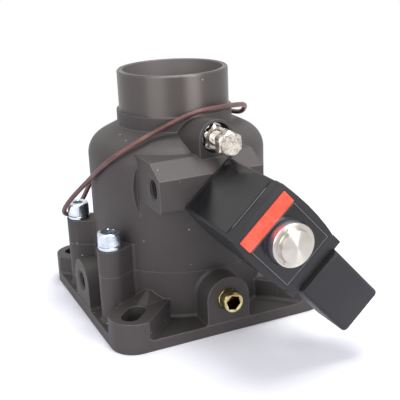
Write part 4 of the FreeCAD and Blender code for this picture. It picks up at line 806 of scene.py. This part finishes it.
# the film has a round hole for the tube's cap, and the stripe lies 0.1 mm beside it
HOLE_RADIUS, HOLE_POINTS, FILM_TOP, LABEL_HALF = 12.2, 64, 122.78, 16.3
turns = [math.tau * k / HOLE_POINTS for k in range(HOLE_POINTS)]
hole = [(HOLE_RADIUS * math.cos(turn), HOLE_RADIUS * math.sin(turn)) for turn in turns]
bm = cut_sheet(corners(-12.45, 17.5, -LABEL_HALF, LABEL_HALF, 0.5), hole, COIL_FACE, FILM_TOP)
piece("end_label_film", bm, ON_COIL, black_film, "coil", ["coil_label"])
bm = cut_sheet(corners(-20.4, -12.55, -LABEL_HALF, LABEL_HALF, 0.5), None, COIL_FACE, 122.8)
piece("end_label_stripe", bm, ON_COIL, orange_film, "coil", ["coil_label"])

side_frame = ON_COIL @ Matrix.Translation((SIDE_FACE, 0, 0)) @ Matrix.Rotation(
    -math.pi / 2, 4, "Y")
bm = cut_sheet(corners(69.9, 113.6, -16.2, 16.2, 0.8), None, -0.3, -0.02)
piece("side_label_film", bm, side_frame, black_film, "coil", ["coil_side_label"])

# %% Painted highlight lines: a border line on the end film, and the raised edge above the side film
# a flat grey that stands for the light caught by the film's raised edges, a painted highlight,
# mottled with specks 0.7 mm across
edge_highlight_grey, tree, coat, where = begin("grey_painted_edge_highlight", "5f6168", 0.45)
speck = add(tree, "TexNoise", {"Vector": where, "Scale": 1500.0, "Detail": 2.0})
tone = add(tree, "Mix", {0: speck.outputs["Fac"], 6: linear("4a4b51"), 7: linear("707279")},
           data_type="RGBA")
tree.links.new(tone.outputs[2], coat.inputs["Base Color"])
# the border line is a painted highlight of the end film's raised edge
bm = cut_sheet(corners(-12.2, 16.9, -15.7, 15.7, 0.5), corners(-11.9, 16.6, -15.4, 15.4, 0.4),
               FILM_TOP, FILM_TOP + 0.03)
piece("end_label_highlight_line", bm, ON_COIL, edge_highlight_grey, "coil")
# the ridge is relief, and its grey is a painted highlight of its edge
bm = prism([(114.2, -12.5), (114.9, -12.5), (114.9, 12.5), (114.2, 12.5)], -0.3, 0.0, 0.12)
piece("side_label_ridge", bm, side_frame, edge_highlight_grey, "coil")

# %% [markdown]
# ## Cable plug
#
# The plug is a plain square hood of smooth black plastic that is held by one screw through its
# middle. Moulded hoods have soft corners and a slight step where they meet the gasket. The cable
# would leave through a gland on the far side, which is closed by a rubber sleeve here.

# %% Hood, gland and screw
# the hood's inner and outer end from the coil's axis, its middle along that axis, half its side
PLUG_IN, PLUG_OUT, MIDDLE, HALF = 26.3, 63.9, 111.5, 13.6
along_u = ON_COIL @ Matrix.Translation((0, 0, MIDDLE)) @ Matrix(
    ((0, 0, 1, 0), (0, 1, 0, 0), (-1, 0, 0, 0), (0, 0, 0, 1)))
bm = prism(corners(-HALF, HALF, -HALF, HALF, 2.6, 6), PLUG_IN, PLUG_OUT, 0.8,
           chosen=lambda e: abs(e.verts[0].co.z - e.verts[1].co.z) < 0.01)
piece("connector_hood", bm, along_u, polyamide, "connector", ["connector_plug"])
bm = revolve([(0, PLUG_OUT - 0.2), (3.4, PLUG_OUT - 0.2), (3.4, PLUG_OUT), (2.9, PLUG_OUT - 0.05),
              (2.4, PLUG_OUT - 0.02), (0, PLUG_OUT)], steps=36)
piece("connector_screw_head", bm, along_u, zinc, "connector", ["connector_screw"])
GLAND_FLATS, GLAND_PLACE = 17.0, 50.0
corner = GLAND_FLATS / math.sqrt(3)
bm = revolve([(6.3, 97.8), (7.4, 97.8), (corner, 97.6), (corner, 90.8), (8.6, 89.3), (7.0, 88.9),
              (6.3, 89.2)], closed=True)
mill(bm, GLAND_FLATS)
bmesh.ops.translate(bm, verts=bm.verts, vec=(GLAND_PLACE, 0, 0))
piece("cable_gland_nut", bm, ON_COIL, polyamide, "connector", ["cable_gland"])

# %% [markdown]
# ## Chrome ring and nickel cap
#
# A chromed spacer and a springy nickel cap hold the coil on its tube. The cap was pressed from
# sheet: a raised disc in a flange, with two curved slots that let it flex over the tube. Its face
# was finished while it turned, so the scratches are rings, and rings make the bright cone of
# light that seems to turn with the lamp. The material draws those rings about the cap's axis.

# %% Spun satin nickel
nickel, tree, coat, where = begin("spun_satin_nickel", "cbc5bd", 0.36, 1.0)
centred = add(tree, "Mapping", {"Vector": where, "Location": (
    -SOLENOID[0] * MM, 0, -SOLENOID[1] * MM)})
axes = add(tree, "SeparateXYZ", {0: centred.outputs[0]})
flat = add(tree, "CombineXYZ", {0: axes.outputs[0], 2: axes.outputs[2]})
reach = add(tree, "VectorMath", {0: flat.outputs[0]}, operation="LENGTH")
lanes = add(tree, "CombineXYZ", {0: reach.outputs["Value"]})
# rings 0.12 mm apart on the real cap, drawn at 0.3 mm
rings = add(tree, "TexNoise", {"Vector": lanes.outputs[0], "Scale": 3300.0, "Detail": 2.0})
tone = add(tree, "Mix", {0: rings.outputs["Fac"], 6: linear("aaa49b"), 7: linear("dcd7cf")},
           data_type="RGBA")
bump = add(tree, "Bump", {"Height": rings.outputs["Fac"], "Distance": 0.000012})
tree.links.new(tone.outputs[2], coat.inputs["Base Color"])
tree.links.new(bump.outputs[0], coat.inputs["Normal"])
coat.inputs["Anisotropic"].default_value = 0.9
# the tangent runs round the cap's own axis, and a quarter turn stretches the light into a cone
around = add(tree, "VectorMath", {0: flat.outputs[0], 1: (0, 1, 0)}, operation="CROSS_PRODUCT")
tree.links.new(around.outputs[0], coat.inputs["Tangent"])
coat.inputs["Anisotropic Rotation"].default_value = 0.25
print(nickel.name)

# %% Spacer and slotted cap
bm = revolve([(6.7, 122.45), (10.6, 122.45), (11.0, 122.8), (11.0, 127.6), (10.7, 127.95),
              (9.2, 127.95), (9.2, 128.4), (6.7, 128.4)], steps=96, closed=True)
piece("chrome_spacer", bm, ON_SOLENOID, chrome, "casing", ["spacer_ring"])
DISC, FLANGE, SLOT_DEPTH = 8.5, 11.2, 0.55
bm = revolve([(0, 128.45), (10.9, 128.45), (FLANGE, 128.6), (FLANGE, 128.95), (10.9, 129.1),
              (10.3, 129.1), (9.3, 129.1), (8.95, 129.1), (DISC + 0.15, 129.35), (DISC, 129.8),
              (DISC, 131.5), (DISC - 0.15, 131.95), (DISC - 0.6, 132.2), (0, 132.1)], steps=96)
# the slots are two arcs of the flange's flat, in degrees, which are pushed in
SLOT_ARCS = (112, 158), (192, 236)
flat_ring = [f for f in bm.faces if all(8.9 < math.hypot(v.co.x, v.co.y) < 10.35
                                        and v.co.z > 129.05 for v in f.verts)]
cut = []
for face in flat_ring:
    middle = face.calc_center_median()
    angle = math.degrees(math.atan2(middle.y, middle.x)) % 360
    if any(first < angle < last for first, last in SLOT_ARCS):
        cut.append(face)
print(len(cut), "faces are pushed in for the slots")
lowered = bmesh.ops.extrude_face_region(bm, geom=cut)["geom"]
bmesh.ops.delete(bm, geom=cut, context="FACES_ONLY")
bmesh.ops.translate(bm, verts=[v for v in lowered if isinstance(v, bmesh.types.BMVert)],
                    vec=(0, 0, -SLOT_DEPTH))
piece("nickel_cap", bm, ON_SOLENOID, nickel, "casing", ["retaining_cap"])

# %% [markdown]
# ## The loose rubber ring
#
# The ring seals the valve to the compressor, and it hangs over the shoulder as it was packed.
# Rubber of that section is limp but springy, so it lies in slow curves. A closed NURBS line
# through the same points as the CAD ring is smooth all the way round, where arcs and straight
# runs would look like bent wire.

# %% Ring as a smooth closed tube
# the same points as in the CAD model, in mm, and the thickness of the rubber
ROUTE = (
    (-59.6, 39.0, 48.9), (-65.3, 31.2, 54.6), (-62.1, 21.0, 65.4), (-55.0, 2.5, 81.2),
    (-53.2, -14.5, 92.0), (-47.6, -26.2, 101.2), (-36.0, -30.0, 107.8), (-25.0, -29.2, 112.2),
    (-4.6, -37.6, 122.7), (14.2, -33.6, 122.4), (30.0, -23.0, 120.0), (40.5, -14.0, 117.3),
    (45.0, -2.5, 110.9), (46.5, 9.0, 107.3), (37.0, 21.0, 109.7), (21.0, 30.0, 112.3),
    (4.0, 38.0, 112.6), (-11.0, 45.2, 109.2), (-22.5, 51.0, 98.0), (-31.5, 49.8, 82.0),
    (-41.0, 46.6, 66.0), (-51.0, 43.5, 52.0))
SECTION = 2.9
line = bpy.data.curves.new("ring_line", "CURVE")
line.dimensions = "3D"
spline = line.splines.new("NURBS")
spline.points.add(len(ROUTE) - 1)
for point, place in zip(spline.points, ROUTE):
    point.co = (*(c * MM for c in place), 1)
spline.order_u = 3
spline.use_cyclic_u = True
spline.resolution_u = 14
line.bevel_depth = SECTION / 2 * MM
line.bevel_resolution = 6
helper = bpy.data.objects.new("ring_line", line)
bpy.context.scene.collection.objects.link(helper)
depsgraph = bpy.context.evaluated_depsgraph_get()
tube = bpy.data.meshes.new_from_object(helper.evaluated_get(depsgraph))
bpy.data.objects.remove(helper)
bm = bmesh.new()
bm.from_mesh(tube)
# piece() expects millimetres, and the curve was made in metres
bmesh.ops.scale(bm, vec=(1 / MM, 1 / MM, 1 / MM), verts=bm.verts)
piece("loose_rubber_ring", bm, UPRIGHT, ring_rubber, "casing", ["loose_seal_ring"])

# %% [markdown]
